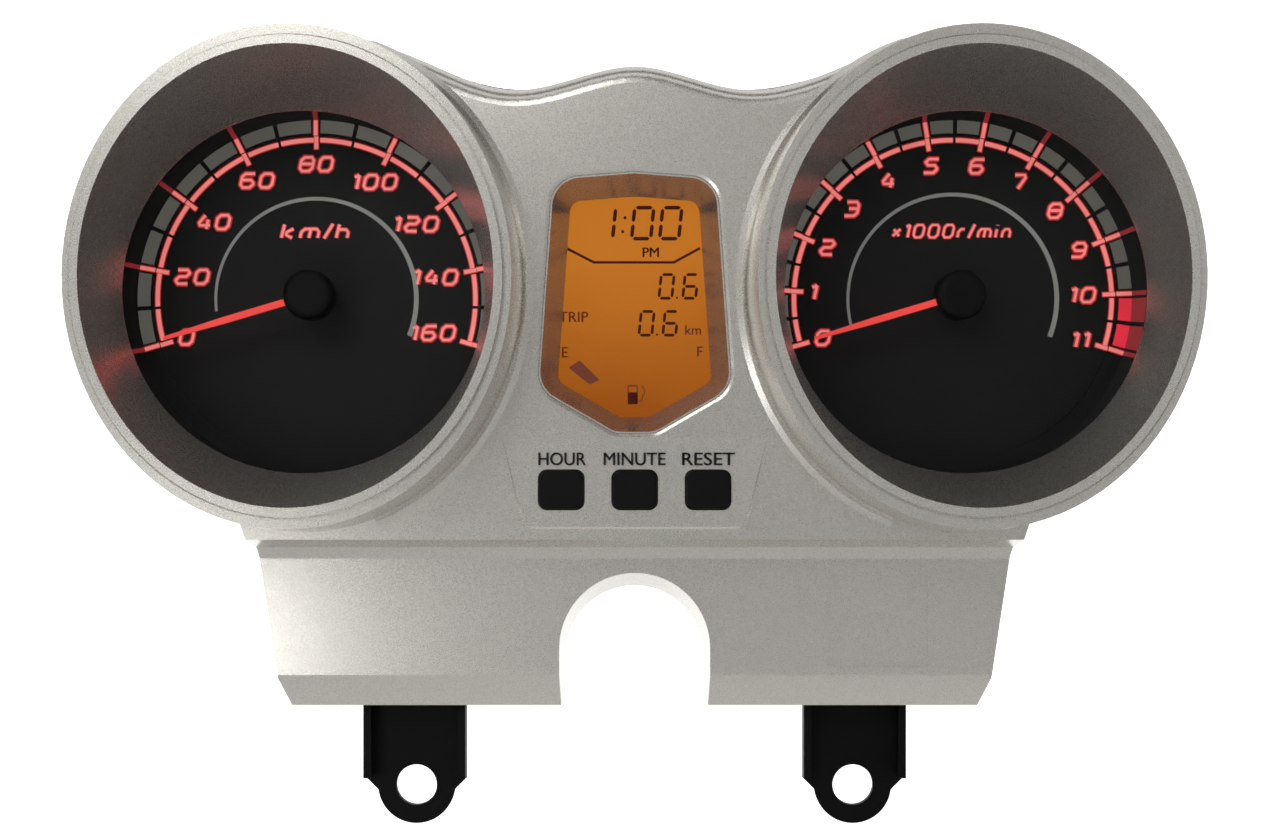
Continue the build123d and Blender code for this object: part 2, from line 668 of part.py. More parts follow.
with BuildPart() as lcd_frame:
    with BuildSketch(front(BOARD_H)):
        add(window_outline(display_outset + FRAME_WALL))
        add(window_outline(display_outset), mode=Mode.SUBTRACT)
    extrude(amount=WINDOW_BACK_H - BOARD_H)
    with BuildSketch(front(GLASS_H - DIFFUSER_T - FRAME_WALL)):
        add(window_outline(display_outset))
        add(window_outline(display_outset - STRIP_W - 1.0), mode=Mode.SUBTRACT)
        with Locations((0, STRIP_Z)):
            Rectangle(STRIP_LENGTH + 0.4, STRIP_W + 0.4, mode=Mode.SUBTRACT)
    extrude(amount=FRAME_WALL)
save(lcd_frame.part, "lcd_frame")

with BuildPart() as lcd_contact_strip:
    with BuildSketch(front(BOARD_H)):
        with Locations((0, STRIP_Z)):
            Rectangle(STRIP_LENGTH, STRIP_W)
    extrude(amount=GLASS_H - BOARD_H)
save(lcd_contact_strip.part, "lcd_contact_strip")

# ---- circuit board and what is soldered to it ----
with BuildPart() as circuit_board:
    with BuildSketch(front(BOARD_BACK_H)):
        with Locations((-POD_X, DIAL_Z), (POD_X, DIAL_Z)):
            Circle(BOARD_R)
        with Locations((0, (BOARD_TOP_Z + BOARD_FOOT_Z) / 2)):
            Rectangle(2 * POD_X - BOARD_NECK, BOARD_TOP_Z - BOARD_FOOT_Z)
        with Locations((-POD_X, DIAL_Z), (POD_X, DIAL_Z)):
            Circle(SPINDLE_R + 1.0, mode=Mode.SUBTRACT)
        with Locations(*SCREW_SPOTS):
            Circle(BOSS_R + 1.0, mode=Mode.SUBTRACT)
        with Locations(*BOARD_SPOTS):
            Circle(SCREW_R, mode=Mode.SUBTRACT)
    extrude(amount=BOARD_T)
save(circuit_board.part, "circuit_board")

with BuildPart() as leds:
    with BuildSketch(front(BOARD_H)):
        with Locations((-POD_X, DIAL_Z), (POD_X, DIAL_Z)):
            with PolarLocations(LED_RING_R, LED_COUNT, start_angle=15):
                Rectangle(LED_W, LED_W)
    extrude(amount=LED_T)
    with BuildSketch(front(BOARD_H)):
        with Locations((0, (STRIP_Z + WINDOW_FOOT_Z) / 2 - 4.0)):
            with GridLocations(LED_PITCH, LED_PITCH, 2, 3):
                Rectangle(LED_W, LED_W)
    extrude(amount=LED_T)
save(leds.part, "leds")

with BuildPart() as microcontroller:
    with BuildSketch(front(BOARD_BACK_H)):
        with Locations((0, CHIP_Z)):
            Rectangle(CHIP_W, CHIP_W)
    extrude(amount=-CHIP_T)
save(microcontroller.part, "microcontroller")

with BuildPart() as connector_header:
    with BuildSketch(front(BOARD_BACK_H)):
        with Locations((0, HEADER_Z)):
            Rectangle(HEADER_W, HEADER_H)
    extrude(amount=BRIDGE_BACK_H - HEADER_PROUD - BOARD_BACK_H)
    with BuildSketch(front(BRIDGE_BACK_H - HEADER_PROUD)):
        with Locations((0, HEADER_Z)):
            Rectangle(HEADER_W - 2 * HEADER_WALL, HEADER_H - 2 * HEADER_WALL)
    extrude(amount=HEADER_DEPTH, mode=Mode.SUBTRACT)
save(connector_header.part, "connector_header")

# ---- buttons ----
with BuildPart() as switch_bodies:
    with BuildSketch(front(BOARD_H)):
        with Locations(*[(x, BUTTON_Z) for _, x in BUTTONS]):
            Rectangle(SWITCH_SIZE, SWITCH_SIZE)
    extrude(amount=SWITCH_T)
    with BuildSketch(front(BOARD_H + SWITCH_T)):
        with Locations(*[(x, BUTTON_Z) for _, x in BUTTONS]):
            Circle(STEM_R + SPINDLE_GAP)
    extrude(amount=-STEM_SUNK - BUTTON_TRAVEL - PIVOT_GAP, mode=Mode.SUBTRACT)
save(switch_bodies.part, "switch_bodies")

for button_name, button_x in BUTTONS:
    with BuildPart() as button:
        with BuildSketch(front(FLANGE_H)):
            with Locations((button_x, BUTTON_Z)):
                RectangleRounded(BUTTON_W + 2 * FLANGE_OUT, BUTTON_H + 2 * FLANGE_OUT, BUTTON_R)
        extrude(amount=FLANGE_T)
        with BuildSketch(front(FLANGE_H)):
            with Locations((button_x, BUTTON_Z)):
                RectangleRounded(BUTTON_W, BUTTON_H, BUTTON_R)
        extrude(amount=FACE_H + PLATE_RISE + BUTTON_PROUD - FLANGE_H)
        fillet(button.faces().sort_by(Axis.Y)[0].edges(), BUTTON_PROUD * 0.8)
        with BuildSketch(front(FLANGE_H)):
            with Locations((button_x, BUTTON_Z)):
                Circle(ROD_R)
        extrude(amount=FLANGE_T + 1.0, mode=Mode.SUBTRACT)
    save(button.part, f"{button_name}_button")

    stem_top = BOARD_H + SWITCH_T + STEM_RISE
    with BuildPart() as push_rod:
        with BuildSketch(front(stem_top)):
            with Locations((button_x, BUTTON_Z)):
                Circle(ROD_R)
        extrude(amount=FLANGE_H + FLANGE_T + 1.0 - stem_top)
    save(push_rod.part, f"{button_name}_push_rod")

    with BuildPart() as stem:
        with BuildSketch(front(stem_top)):
            with Locations((button_x, BUTTON_Z)):
                Circle(STEM_R)
        extrude(amount=-STEM_RISE - STEM_SUNK)
    save(stem.part, f"{button_name}_switch_stem")

# ---- rear housing, its seal and its breather ----
with BuildPart() as housing_body:
    add(housing_pods(0.0))
    with BuildSketch(front(SPLIT_H)):
        add(body_outline(housing_foot(), lift=DIP_LIFT))
    extrude(amount=BRIDGE_BACK_H - SPLIT_H)

with BuildPart() as housing_hollow:
    add(housing_pods(WALL))
    with BuildSketch(front(SPLIT_H)):
        add(body_outline(housing_foot(WALL), WALL, DIP_LIFT))
    extrude(amount=BRIDGE_BACK_H + WALL - SPLIT_H)
    with BuildSketch(front(SPLIT_H)):
        with Locations(*SCREW_SPOTS):
            Circle(BOSS_R)
    extrude(amount=BACK_H - SPLIT_H, mode=Mode.SUBTRACT)
    with BuildSketch(front(BOARD_BACK_H)):
        with Locations(*BOARD_SPOTS):
            Circle(POST_R)
    extrude(amount=BACK_H - BOARD_BACK_H, mode=Mode.SUBTRACT)

with BuildPart() as rear_housing:
    add(housing_body.part)
    with BuildSketch(front(LUG_BACK_H)):
        for side_x in (-LEG_X, LEG_X):
            with Locations((side_x, (MOUNT_Z + POD_FOOT_Z) / 2)):
                Rectangle(LUG_W, POD_FOOT_Z - MOUNT_Z)
            with Locations((side_x, MOUNT_Z)):
                Circle(LUG_W / 2)
    extrude(amount=LUG_T)
    add(housing_hollow.part, mode=Mode.SUBTRACT)
    with BuildSketch(front(SPLIT_H)):
        with Locations(*SCREW_SPOTS):
            Circle(SCREW_R + SCREW_GAP)
    extrude(amount=BACK_H - SPLIT_H - 10, mode=Mode.SUBTRACT)
    with BuildSketch(front(SCREW_SEAT_H)):
        with Locations(*SCREW_SPOTS):
            Circle(SCREW_HEAD_R + SCREW_GAP)
    extrude(amount=BACK_H - SCREW_SEAT_H - 10, mode=Mode.SUBTRACT)
    with BuildSketch(front(BOARD_BACK_H)):
        with Locations(*BOARD_SPOTS):
            Circle(SCREW_R)
    extrude(amount=-SCREW_BITE, mode=Mode.SUBTRACT)
    with BuildSketch(front(BRIDGE_BACK_H)):
        with Locations((0, HEADER_Z)):
            Rectangle(HEADER_W + 2 * HEADER_GAP, HEADER_H + 2 * HEADER_GAP)
    extrude(amount=WALL, mode=Mode.SUBTRACT)
    with BuildSketch(front(BACK_H)):
        with Locations((-POD_X, VENT_Z)):
            Circle(VENT_STEM_R)
    extrude(amount=WALL, mode=Mode.SUBTRACT)
    with BuildSketch(front(LUG_BACK_H)):
        with Locations((-LEG_X, MOUNT_Z), (LEG_X, MOUNT_Z)):
            Circle(GROMMET_R)
    extrude(amount=LUG_T, mode=Mode.SUBTRACT)
    with BuildSketch(front(SPLIT_H)):
        add(seal_outline())
    extrude(amount=-SEAL_T, mode=Mode.SUBTRACT)
save(rear_housing.part, "rear_housing")

with BuildPart() as seal:
    with BuildSketch(front(SPLIT_H)):
        add(seal_outline())
    extrude(amount=-SEAL_T)
save(seal.part, "seal")

with BuildPart() as vent_cap:
    with BuildSketch(front(BACK_H)):
        with Locations((-POD_X, VENT_Z)):
            Circle(VENT_R)
    extrude(amount=-VENT_T)
    with BuildSketch(front(BACK_H)):
        with Locations((-POD_X, VENT_Z)):
            Circle(VENT_STEM_R)
    extrude(amount=WALL)
save(vent_cap.part, "vent_cap")

# ---- screws ----
with BuildPart() as housing_screws:
    with BuildSketch(front(SCREW_SEAT_H)):
        with Locations(*SCREW_SPOTS):
            Circle(SCREW_R)
    extrude(amount=SPLIT_H + SCREW_BITE - SCREW_SEAT_H)
    with BuildSketch(front(SCREW_SEAT_H)):
        with Locations(*SCREW_SPOTS):
            Circle(SCREW_HEAD_R)
    extrude(amount=-SCREW_HEAD_T)
save(housing_screws.part, "housing_screws")

with BuildPart() as board_screws:
    with BuildSketch(front(BOARD_H)):
        with Locations(*BOARD_SPOTS):
            Circle(SCREW_R)
    extrude(amount=-SCREW_BITE - BOARD_T)
    with BuildSketch(front(BOARD_H)):
        with Locations(*BOARD_SPOTS):
            Circle(SCREW_HEAD_R)
    extrude(amount=BOARD_SCREW_HEAD_T)
save(board_screws.part, "board_screws")

# ---- legs: pressed steel channels with a round tab and hole at the foot ----
for leg_name, leg_x in (("left", -LEG_X), ("right", LEG_X)):
    with BuildPart() as leg:
        with BuildSketch(front(-LEG_T)) as web:
            with Locations((leg_x, (LEG_TOP_Z + LEG_SHOULDER_Z) / 2)):
                Rectangle(LEG_W, LEG_TOP_Z - LEG_SHOULDER_Z)
            chamfer(web.vertices().group_by(Axis.Y)[0], LEG_SHOULDER_CUT)
            with Locations((leg_x, 0)):
                Circle(LEG_TAB_R)
                Circle(LEG_HOLE_R, mode=Mode.SUBTRACT)
            with Locations((leg_x, MOUNT_Z)):
                Circle(BOLT_R, mode=Mode.SUBTRACT)
        extrude(amount=LEG_T)
        with BuildSketch(front(0)):
            for flange_side in (-1, 1):
                flange_x = leg_x + flange_side * (LEG_W - LEG_T) / 2
                with Locations((flange_x, (LEG_TOP_Z + LEG_FLANGE_FOOT_Z) / 2)):
                    Rectangle(LEG_T, LEG_TOP_Z - LEG_FLANGE_FOOT_Z)
        extrude(amount=LEG_FLANGE)
        corners = leg.edges().filter_by(Axis.Z).group_by(Axis.Y)[-1]
        fillet(corners, LEG_T * 0.9)
    save(leg.part, f"{leg_name}_bracket")

# ---- rubber mounts between the legs and the housing ----
LEG_MOUNTS = [(-LEG_X, MOUNT_Z), (LEG_X, MOUNT_Z)]
with BuildPart() as mount_grommets:
    with BuildSketch(front(LUG_BACK_H - GROMMET_LIP)):
        with Locations(*LEG_MOUNTS):
            Circle(GROMMET_R + GROMMET_LIP)
    extrude(amount=GROMMET_LIP)
    with BuildSketch(front(LUG_BACK_H)):
        with Locations(*LEG_MOUNTS):
            Circle(GROMMET_R)
    extrude(amount=LUG_T)
    with BuildSketch(front(LUG_BACK_H + LUG_T)):
        with Locations(*LEG_MOUNTS):
            Circle(GROMMET_R + GROMMET_LIP)
    extrude(amount=GROMMET_LIP)
    with BuildSketch(front(LUG_BACK_H - GROMMET_LIP)):
        with Locations(*LEG_MOUNTS):
            Circle(BOLT_R + COLLAR_WALL)
    extrude(amount=LUG_T + 2 * GROMMET_LIP, mode=Mode.SUBTRACT)
save(mount_grommets.part, "mount_grommets")

with BuildPart() as mount_collars:
    with BuildSketch(front(-LEG_T)):
        with Locations(*LEG_MOUNTS):
            Circle(BOLT_R + COLLAR_WALL)
            Circle(BOLT_R + SPINDLE_GAP, mode=Mode.SUBTRACT)
    extrude(amount=COLLAR_BACK_H + LEG_T)
save(mount_collars.part, "mount_collars")

with BuildPart() as mount_washers:
    with BuildSketch(front(COLLAR_BACK_H)):
        with Locations(*LEG_MOUNTS):
            Circle(GROMMET_R + GROMMET_LIP)
            Circle(BOLT_R + SPINDLE_GAP, mode=Mode.SUBTRACT)
    extrude(amount=-WASHER_T)
save(mount_washers.part, "mount_washers")

with BuildPart() as mount_bolts:
    with BuildSketch(front(COLLAR_BACK_H - WASHER_T)):
        with Locations(*LEG_MOUNTS):
            RegularPolygon(BOLT_R * 1.8, 6)
    extrude(amount=-BOLT_HEAD_T)
    with BuildSketch(front(COLLAR_BACK_H - WASHER_T)):
        with Locations(*LEG_MOUNTS):
            Circle(BOLT_R)
    extrude(amount=NUT_T - COLLAR_BACK_H + WASHER_T - 0.5)
save(mount_bolts.part, "mount_bolts")

with BuildPart() as mount_nuts:
    with BuildSketch(front(0)):
        with Locations(*LEG_MOUNTS):
            RegularPolygon(BOLT_R * 1.8, 6)
            Circle(BOLT_R, mode=Mode.SUBTRACT)
    extrude(amount=NUT_T)
save(mount_nuts.part, "mount_nuts")
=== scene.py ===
"""Looks of a motorcycle instrument cluster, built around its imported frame.

Lengths are in metres. X is to the rider's right, Z is up and Y points away from the rider, so
a dial's face looks along -Y. Flat work, such as dial printing, is drawn in a face's own plane,
in millimetres, and placed by that face's matrix.
"""
import logging
import math
from dataclasses import dataclass, field
from enum import Enum
from typing import Any, ClassVar, Iterable, Sequence

import bmesh
import bpy
from mathutils import Matrix, Vector


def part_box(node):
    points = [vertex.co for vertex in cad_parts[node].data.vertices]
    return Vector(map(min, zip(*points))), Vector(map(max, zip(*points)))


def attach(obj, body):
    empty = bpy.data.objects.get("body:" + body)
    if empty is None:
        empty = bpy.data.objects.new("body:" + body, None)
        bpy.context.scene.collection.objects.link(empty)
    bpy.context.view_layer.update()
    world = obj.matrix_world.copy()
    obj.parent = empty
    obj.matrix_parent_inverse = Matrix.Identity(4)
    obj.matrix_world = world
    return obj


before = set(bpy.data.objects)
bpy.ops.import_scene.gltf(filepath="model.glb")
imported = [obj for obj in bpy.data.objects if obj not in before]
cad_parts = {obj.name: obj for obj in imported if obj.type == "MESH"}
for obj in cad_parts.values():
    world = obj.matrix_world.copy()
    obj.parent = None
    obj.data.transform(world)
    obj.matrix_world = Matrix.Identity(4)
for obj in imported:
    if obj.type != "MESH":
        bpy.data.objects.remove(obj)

LOG = logging.getLogger("cluster")
MM = 0.001
HOUSING = "housing"
Color = tuple[float, float, float]
Point = tuple[float, float]


# ---------------------------------------------------------------- materials
class Wire:
    """One output socket of a shader graph, on which arithmetic adds Math nodes."""

    def __init__(self, graph: "Graph", socket: bpy.types.NodeSocket) -> None:
        """Keep the graph and the socket.

        Args:
            graph: The graph that the socket belongs to.
            socket: The output socket.
        """
        self.graph = graph
        self.socket = socket

    def _math(self, operation: str, first: Any, second: Any) -> "Wire":
        """Add a Math node on two values and return its output."""
        node = self.graph.node("ShaderNodeMath", {"operation": operation}, {0: first, 1: second})
        return Wire(self.graph, node.outputs[0])

    def __add__(self, other: Any) -> "Wire":
        """Sum."""
        return self._math("ADD", self, other)

    __radd__ = __add__

    def __mul__(self, other: Any) -> "Wire":
        """Product."""
        return self._math("MULTIPLY", self, other)

    def __sub__(self, other: Any) -> "Wire":
        """Difference."""
        return self._math("SUBTRACT", self, other)


class Graph:
    """A material's node graph, ending in one Principled shader."""

    def __init__(self, name: str) -> None:
        """Start an empty material.

        Args:
            name: The material's name.
        """
        self.material = bpy.data.materials.new(name)
        self.material.use_nodes = True
        self.tree = self.material.node_tree
        self.tree.nodes.clear()
        self.shader = self.node("ShaderNodeBsdfPrincipled", {}, {})
        self.node("ShaderNodeOutputMaterial", {}, {"Surface": self.shader.outputs[0]})

    def node(self, kind: str, settings: dict[str, Any], sockets: dict[Any, Any]) -> bpy.types.Node:
        """Add a node.

        Args:
            kind: The node's type.
            settings: Its properties, set first.
            sockets: Values, sockets or wires by input name or number.

        Returns:
            The node.
        """
        node = self.tree.nodes.new(kind)
        for key, value in settings.items():
            setattr(node, key, value)
        for key, value in sockets.items():
            self.feed(node.inputs[key], value)
        return node

    def feed(self, socket: bpy.types.NodeSocket, value: Any) -> None:
        """Link a wire or a socket to an input, or set its value."""
        if isinstance(value, Wire):
            self.tree.links.new(value.socket, socket)
        elif isinstance(value, bpy.types.NodeSocket):
            self.tree.links.new(value, socket)
        elif isinstance(value, tuple) and len(value) == 3 and socket.type == "RGBA":
            socket.default_value = (*value, 1.0)
        else:
            socket.default_value = value

    def set(self, **sockets: Any) -> None:
        """Feed the shader's inputs; underscores in a name stand for spaces."""
        for key, value in sockets.items():
            self.feed(self.shader.inputs[key.replace("_", " ")], value)

    def place(self) -> Wire:
        """The piece's own coordinates, in metres."""
        return Wire(self, self.node("ShaderNodeTexCoord", {}, {}).outputs["Object"])

    def along(self, axis: str, start: float, end: float) -> Wire:
        """How far a point is along an axis.

        Args:
            axis: "X", "Y" or "Z".
            start: Where the value is 0, in metres.
            end: Where the value is 1, in metres.

        Returns:
            The share of the way from start to end.
        """
        split = self.node("ShaderNodeSeparateXYZ", {}, {0: self.place()})
        return (Wire(self, split.outputs[axis]) - start) * (1 / (end - start))

    def noise(self, scale: float, detail: float = 2.0, stretch: Color = (1.0, 1.0, 1.0)) -> Wire:
        """Smooth noise.

        Args:
            scale: Features per metre.
            detail: Octaves.
            stretch: Scale along each axis, to draw the noise out.

        Returns:
            The noise, from 0 to 1.
        """
        mapping = self.node("ShaderNodeMapping", {}, {"Vector": self.place(), "Scale": stretch})
        node = self.node(
            "ShaderNodeTexNoise", {}, {"Vector": mapping.outputs[0], "Scale": scale, "Detail": detail}
        )
        return Wire(self, node.outputs["Fac"])

    def cells(self, scale: float) -> Wire:
        """Random tone per cell, for metal flakes.

        Args:
            scale: Cells per metre.

        Returns:
            The tone, from 0 to 1.
        """
        node = self.node("ShaderNodeTexVoronoi", {}, {"Vector": self.place(), "Scale": scale})
        tone = self.node("ShaderNodeSeparateColor", {}, {"Color": node.outputs["Color"]})
        return Wire(self, tone.outputs[0])

    def tint(self, factor: Any, low: Color, high: Color) -> Wire:
        """Mix two colours.

        Args:
            factor: 0 for the low colour, 1 for the high one.
            low: The first colour.
            high: The second colour.

        Returns:
            The mixed colour.
        """
        node = self.node(
            "ShaderNodeMix", {"data_type": "RGBA"}, {0: factor, 6: (*low, 1.0), 7: (*high, 1.0)}
        )
        return Wire(self, node.outputs[2])

    def bump(self, height: Any, depth: float) -> None:
        """Roughen the shader's normal.

        Args:
            height: The height, from 0 to 1.
            depth: What a height of 1 means, in metres.
        """
        node = self.node("ShaderNodeBump", {}, {"Height": height, "Distance": depth, "Strength": 1.0})
        self.set(Normal=node.outputs[0])


@dataclass(frozen=True)
class Finish:
    """A plain finish: a colour with slight mottling and a fine grain."""

    name: str
    color: Color
    rough: float = 0.5
    metallic: float = 0.0
    coat: float = 0.0
    gloss: float = 0.5
    mottle: float = 0.12
    grain: float = 1500.0
    grain_depth: float = 0.00002
    stretch: Color = (1.0, 1.0, 1.0)

    made: ClassVar[dict[str, bpy.types.Material]] = {}

    def material(self) -> bpy.types.Material:
        """The finish's material, made once."""
        if self.name not in Finish.made:
            graph = Graph(self.name)
            self.dress(graph)
            Finish.made[self.name] = graph.material
        return Finish.made[self.name]

    def shades(self) -> tuple[Color, Color]:
        """The colour made a little darker and a little lighter."""
        dark = tuple(c * (1 - self.mottle) for c in self.color)
        light = tuple(min(1.0, c * (1 + self.mottle)) for c in self.color)
        return dark, light

    def dress(self, graph: Graph) -> None:
        """Fill the graph.

        Args:
            graph: The material's graph.
        """
        broad = graph.noise(60.0, 3.0)
        fine = graph.noise(self.grain, 3.0, self.stretch)
        graph.set(
            Base_Color=graph.tint(broad, *self.shades()),
            Roughness=self.rough * 0.85 + fine * (self.rough * 0.3),
            Metallic=self.metallic,
            Coat_Weight=self.coat,
            Coat_Roughness=0.12,
            Specular_IOR_Level=self.gloss,
        )
        graph.bump(fine, self.grain_depth)


@dataclass(frozen=True)
class MetalPaint(Finish):
    """Silver paint on plastic: aluminium flakes under a satin coat."""

    flakes: float = 7000.0

    def dress(self, graph: Graph) -> None:
        """Fill the graph.

        Args:
            graph: The material's graph.
        """
        broad = graph.noise(14.0, 2.0)
        flake = graph.cells(self.flakes)
        peel = graph.noise(420.0, 2.0)
        graph.set(
            Base_Color=graph.tint(broad * 0.6 + flake * 0.4, *self.shades()),
            Roughness=self.rough + flake * 0.10,
            Metallic=self.metallic,
            Coat_Weight=self.coat,
            Coat_Roughness=0.28,
        )
        graph.bump(peel * 0.7 + flake * 0.3, self.grain_depth)


@dataclass(frozen=True)
class Glow(Finish):
    """A printed mark or a panel lit from behind."""

    light: Color = (1.0, 0.0, 0.0)
    power: float = 1.0
    cloud: float = 0.25
    cloud_size: float = 90.0

    def dress(self, graph: Graph) -> None:
        """Fill the graph.

        Args:
            graph: The material's graph.
        """
        cloud = graph.noise(self.cloud_size, 2.0)
        dim = tuple(c * (1 - self.cloud) for c in self.light)
        bright = tuple(min(1.0, c * (1 + self.cloud)) for c in self.light)
        graph.set(
            Base_Color=graph.tint(cloud, *self.shades()),
            Roughness=self.rough,
            Emission_Color=graph.tint(cloud, dim, bright),
            Emission_Strength=self.power,
        )


@dataclass(frozen=True)
class AmberPanel(Finish):
    """The liquid crystal panel, lit from behind and duller towards its foot."""

    foot: Color = (0.30, 0.070, 0.003)
    head: Color = (0.52, 0.165, 0.014)
    foot_z: float = 0.098
    head_z: float = 0.140

    def dress(self, graph: Graph) -> None:
        """Fill the graph.

        Args:
            graph: The material's graph.
        """
        cloud = graph.noise(28.0, 2.0)
        height = graph.along("Z", self.foot_z, self.head_z) + (cloud - 0.5) * 0.7
        graph.set(
            Base_Color=graph.tint(cloud, *self.shades()),
            Roughness=self.rough,
            Specular_IOR_Level=self.gloss,
            Emission_Color=graph.tint(height, self.foot, self.head),
            Emission_Strength=1.0,
        )


@dataclass(frozen=True)
class Clear(Finish):
    """A clear moulded lens, with faint wipe marks in its gloss."""

    alpha: float = 0.03

    def dress(self, graph: Graph) -> None:
        """Fill the graph.

        Args:
            graph: The material's graph.
        """
        wipe = graph.noise(70.0, 3.0, (1.0, 1.0, 2.5))
        graph.set(
            Base_Color=self.color,
            Roughness=0.03 + wipe * 0.06,
            Alpha=self.alpha + wipe * 0.01,
            Specular_IOR_Level=self.gloss,
        )


SILVER = MetalPaint("silver_paint", (0.58, 0.56, 0.515), 0.22, 0.88, 0.12, mottle=0.03,
                    grain_depth=0.000006)
HOUSING_BLACK = Finish("housing_black", (0.012, 0.012, 0.013), 0.5, gloss=0.35, grain=1800.0,
                       grain_depth=0.00005)
INNER_BLACK = Finish("inner_black", (0.006, 0.0055, 0.0055), 0.6, gloss=0.2)
DIAL_BLACK = Finish("dial_black", (0.0085, 0.009, 0.0082), 0.6, gloss=0.15, mottle=0.2,
                    grain_depth=0.000006)
HUB_BLACK = Finish("hub_black", (0.003, 0.0027, 0.0027), 0.5, gloss=0.1)
RUBBER = Finish("button_rubber", (0.002, 0.002, 0.002), 0.5, gloss=0.12, grain=2600.0)
LEG_BLACK = Finish("leg_black", (0.0015, 0.0015, 0.0016), 0.5, gloss=0.09, grain=900.0,
                   grain_depth=0.00003)
ZINC = Finish("zinc_steel", (0.56, 0.56, 0.54), 0.3, 1.0, grain=700.0, stretch=(1, 6, 1))
SOFT_RUBBER = Finish("soft_rubber", (0.015, 0.015, 0.015), 0.75)
BOARD = Finish("board_green", (0.02, 0.12, 0.05), 0.35, coat=0.4)
COPPER = Finish("coil_copper", (0.62, 0.25, 0.10), 0.3, 0.9, grain=2500.0, stretch=(0.05, 0.05, 1))
FERRITE = Finish("ferrite", (0.06, 0.06, 0.065), 0.5, 0.4)
IVORY = Finish("ivory_plastic", (0.70, 0.68, 0.62), 0.45)
MILKY = Finish("milky_plastic", (0.72, 0.72, 0.70), 0.4)
CLEAR = Clear("clear_lens", (0.0, 0.0, 0.0), 0.05)
INK = Finish("label_ink", (0.035, 0.032, 0.032), 0.5)
LCD_INK = Finish("lcd_ink", (0.075, 0.010, 0.003), 0.4, gloss=0.1)
LCD_FAINT = Glow("lcd_faint_ink", (0.05, 0.01, 0.002), 0.4, light=(0.12, 0.018, 0.004), power=0.8)
GREY_PRINT = Glow("grey_print", (0.16, 0.16, 0.15), 0.5, light=(0.20, 0.20, 0.185), power=0.5)
PANEL = Glow("ring_panel", (0.03, 0.03, 0.028), 0.5, light=(0.10, 0.094, 0.08), power=0.8, cloud=0.55,
             cloud_size=25.0)
RED_PANEL = Glow("red_panel", (0.3, 0.02, 0.03), 0.5, light=(0.66, 0.018, 0.04), power=0.9)
# A darker copy of the lit red, for the chapter ring's slope: painted shade.
RED_PAINTED_SHADE = Glow("red_painted_shade", (0.10, 0.006, 0.008), 0.5, light=(0.22, 0.006, 0.01), power=0.8)
RED_EDGE = Glow("red_edge", (0.12, 0.004, 0.004), 0.5, light=(0.46, 0.005, 0.008), power=0.9)
RED_CORE = Glow("red_core", (0.3, 0.10, 0.10), 0.5, light=(0.72, 0.20, 0.18), power=0.95)
NEEDLE_RED = Glow("needle_red", (0.45, 0.03, 0.03), 0.3, light=(0.80, 0.05, 0.04), power=0.7)
AMBER = AmberPanel("amber_panel", (0.03, 0.01, 0.001), 0.4, gloss=0.1)


# ---------------------------------------------------------------- flat work
def facing(x: float, y: float, z: float) -> Matrix:
    """The plane of a face that looks along -Y.

    Args:
        x: Its centre's X, in metres.
        y: Its place along Y, in metres.
        z: Its centre's Z, in metres.

    Returns:
        A matrix from the face's millimetres to the frame's metres.
    """
    turn = Matrix(((1, 0, 0, 0), (0, 0, -1, 0), (0, 1, 0, 0), (0, 0, 0, 1)))
    return Matrix.Translation((x, y, z)) @ turn @ Matrix.Scale(MM, 4)


def facing_back(x: float, y: float, z: float) -> Matrix:
    """The plane of a face that looks along +Y.

    Args:
        x: Its centre's X, in metres.
        y: Its place along Y, in metres.
        z: Its centre's Z, in metres.

    Returns:
        A matrix from the face's millimetres to the frame's metres.
    """
    turn = Matrix(((-1, 0, 0, 0), (0, 0, 1, 0), (0, 1, 0, 0), (0, 0, 0, 1)))
    return Matrix.Translation((x, y, z)) @ turn @ Matrix.Scale(MM, 4)


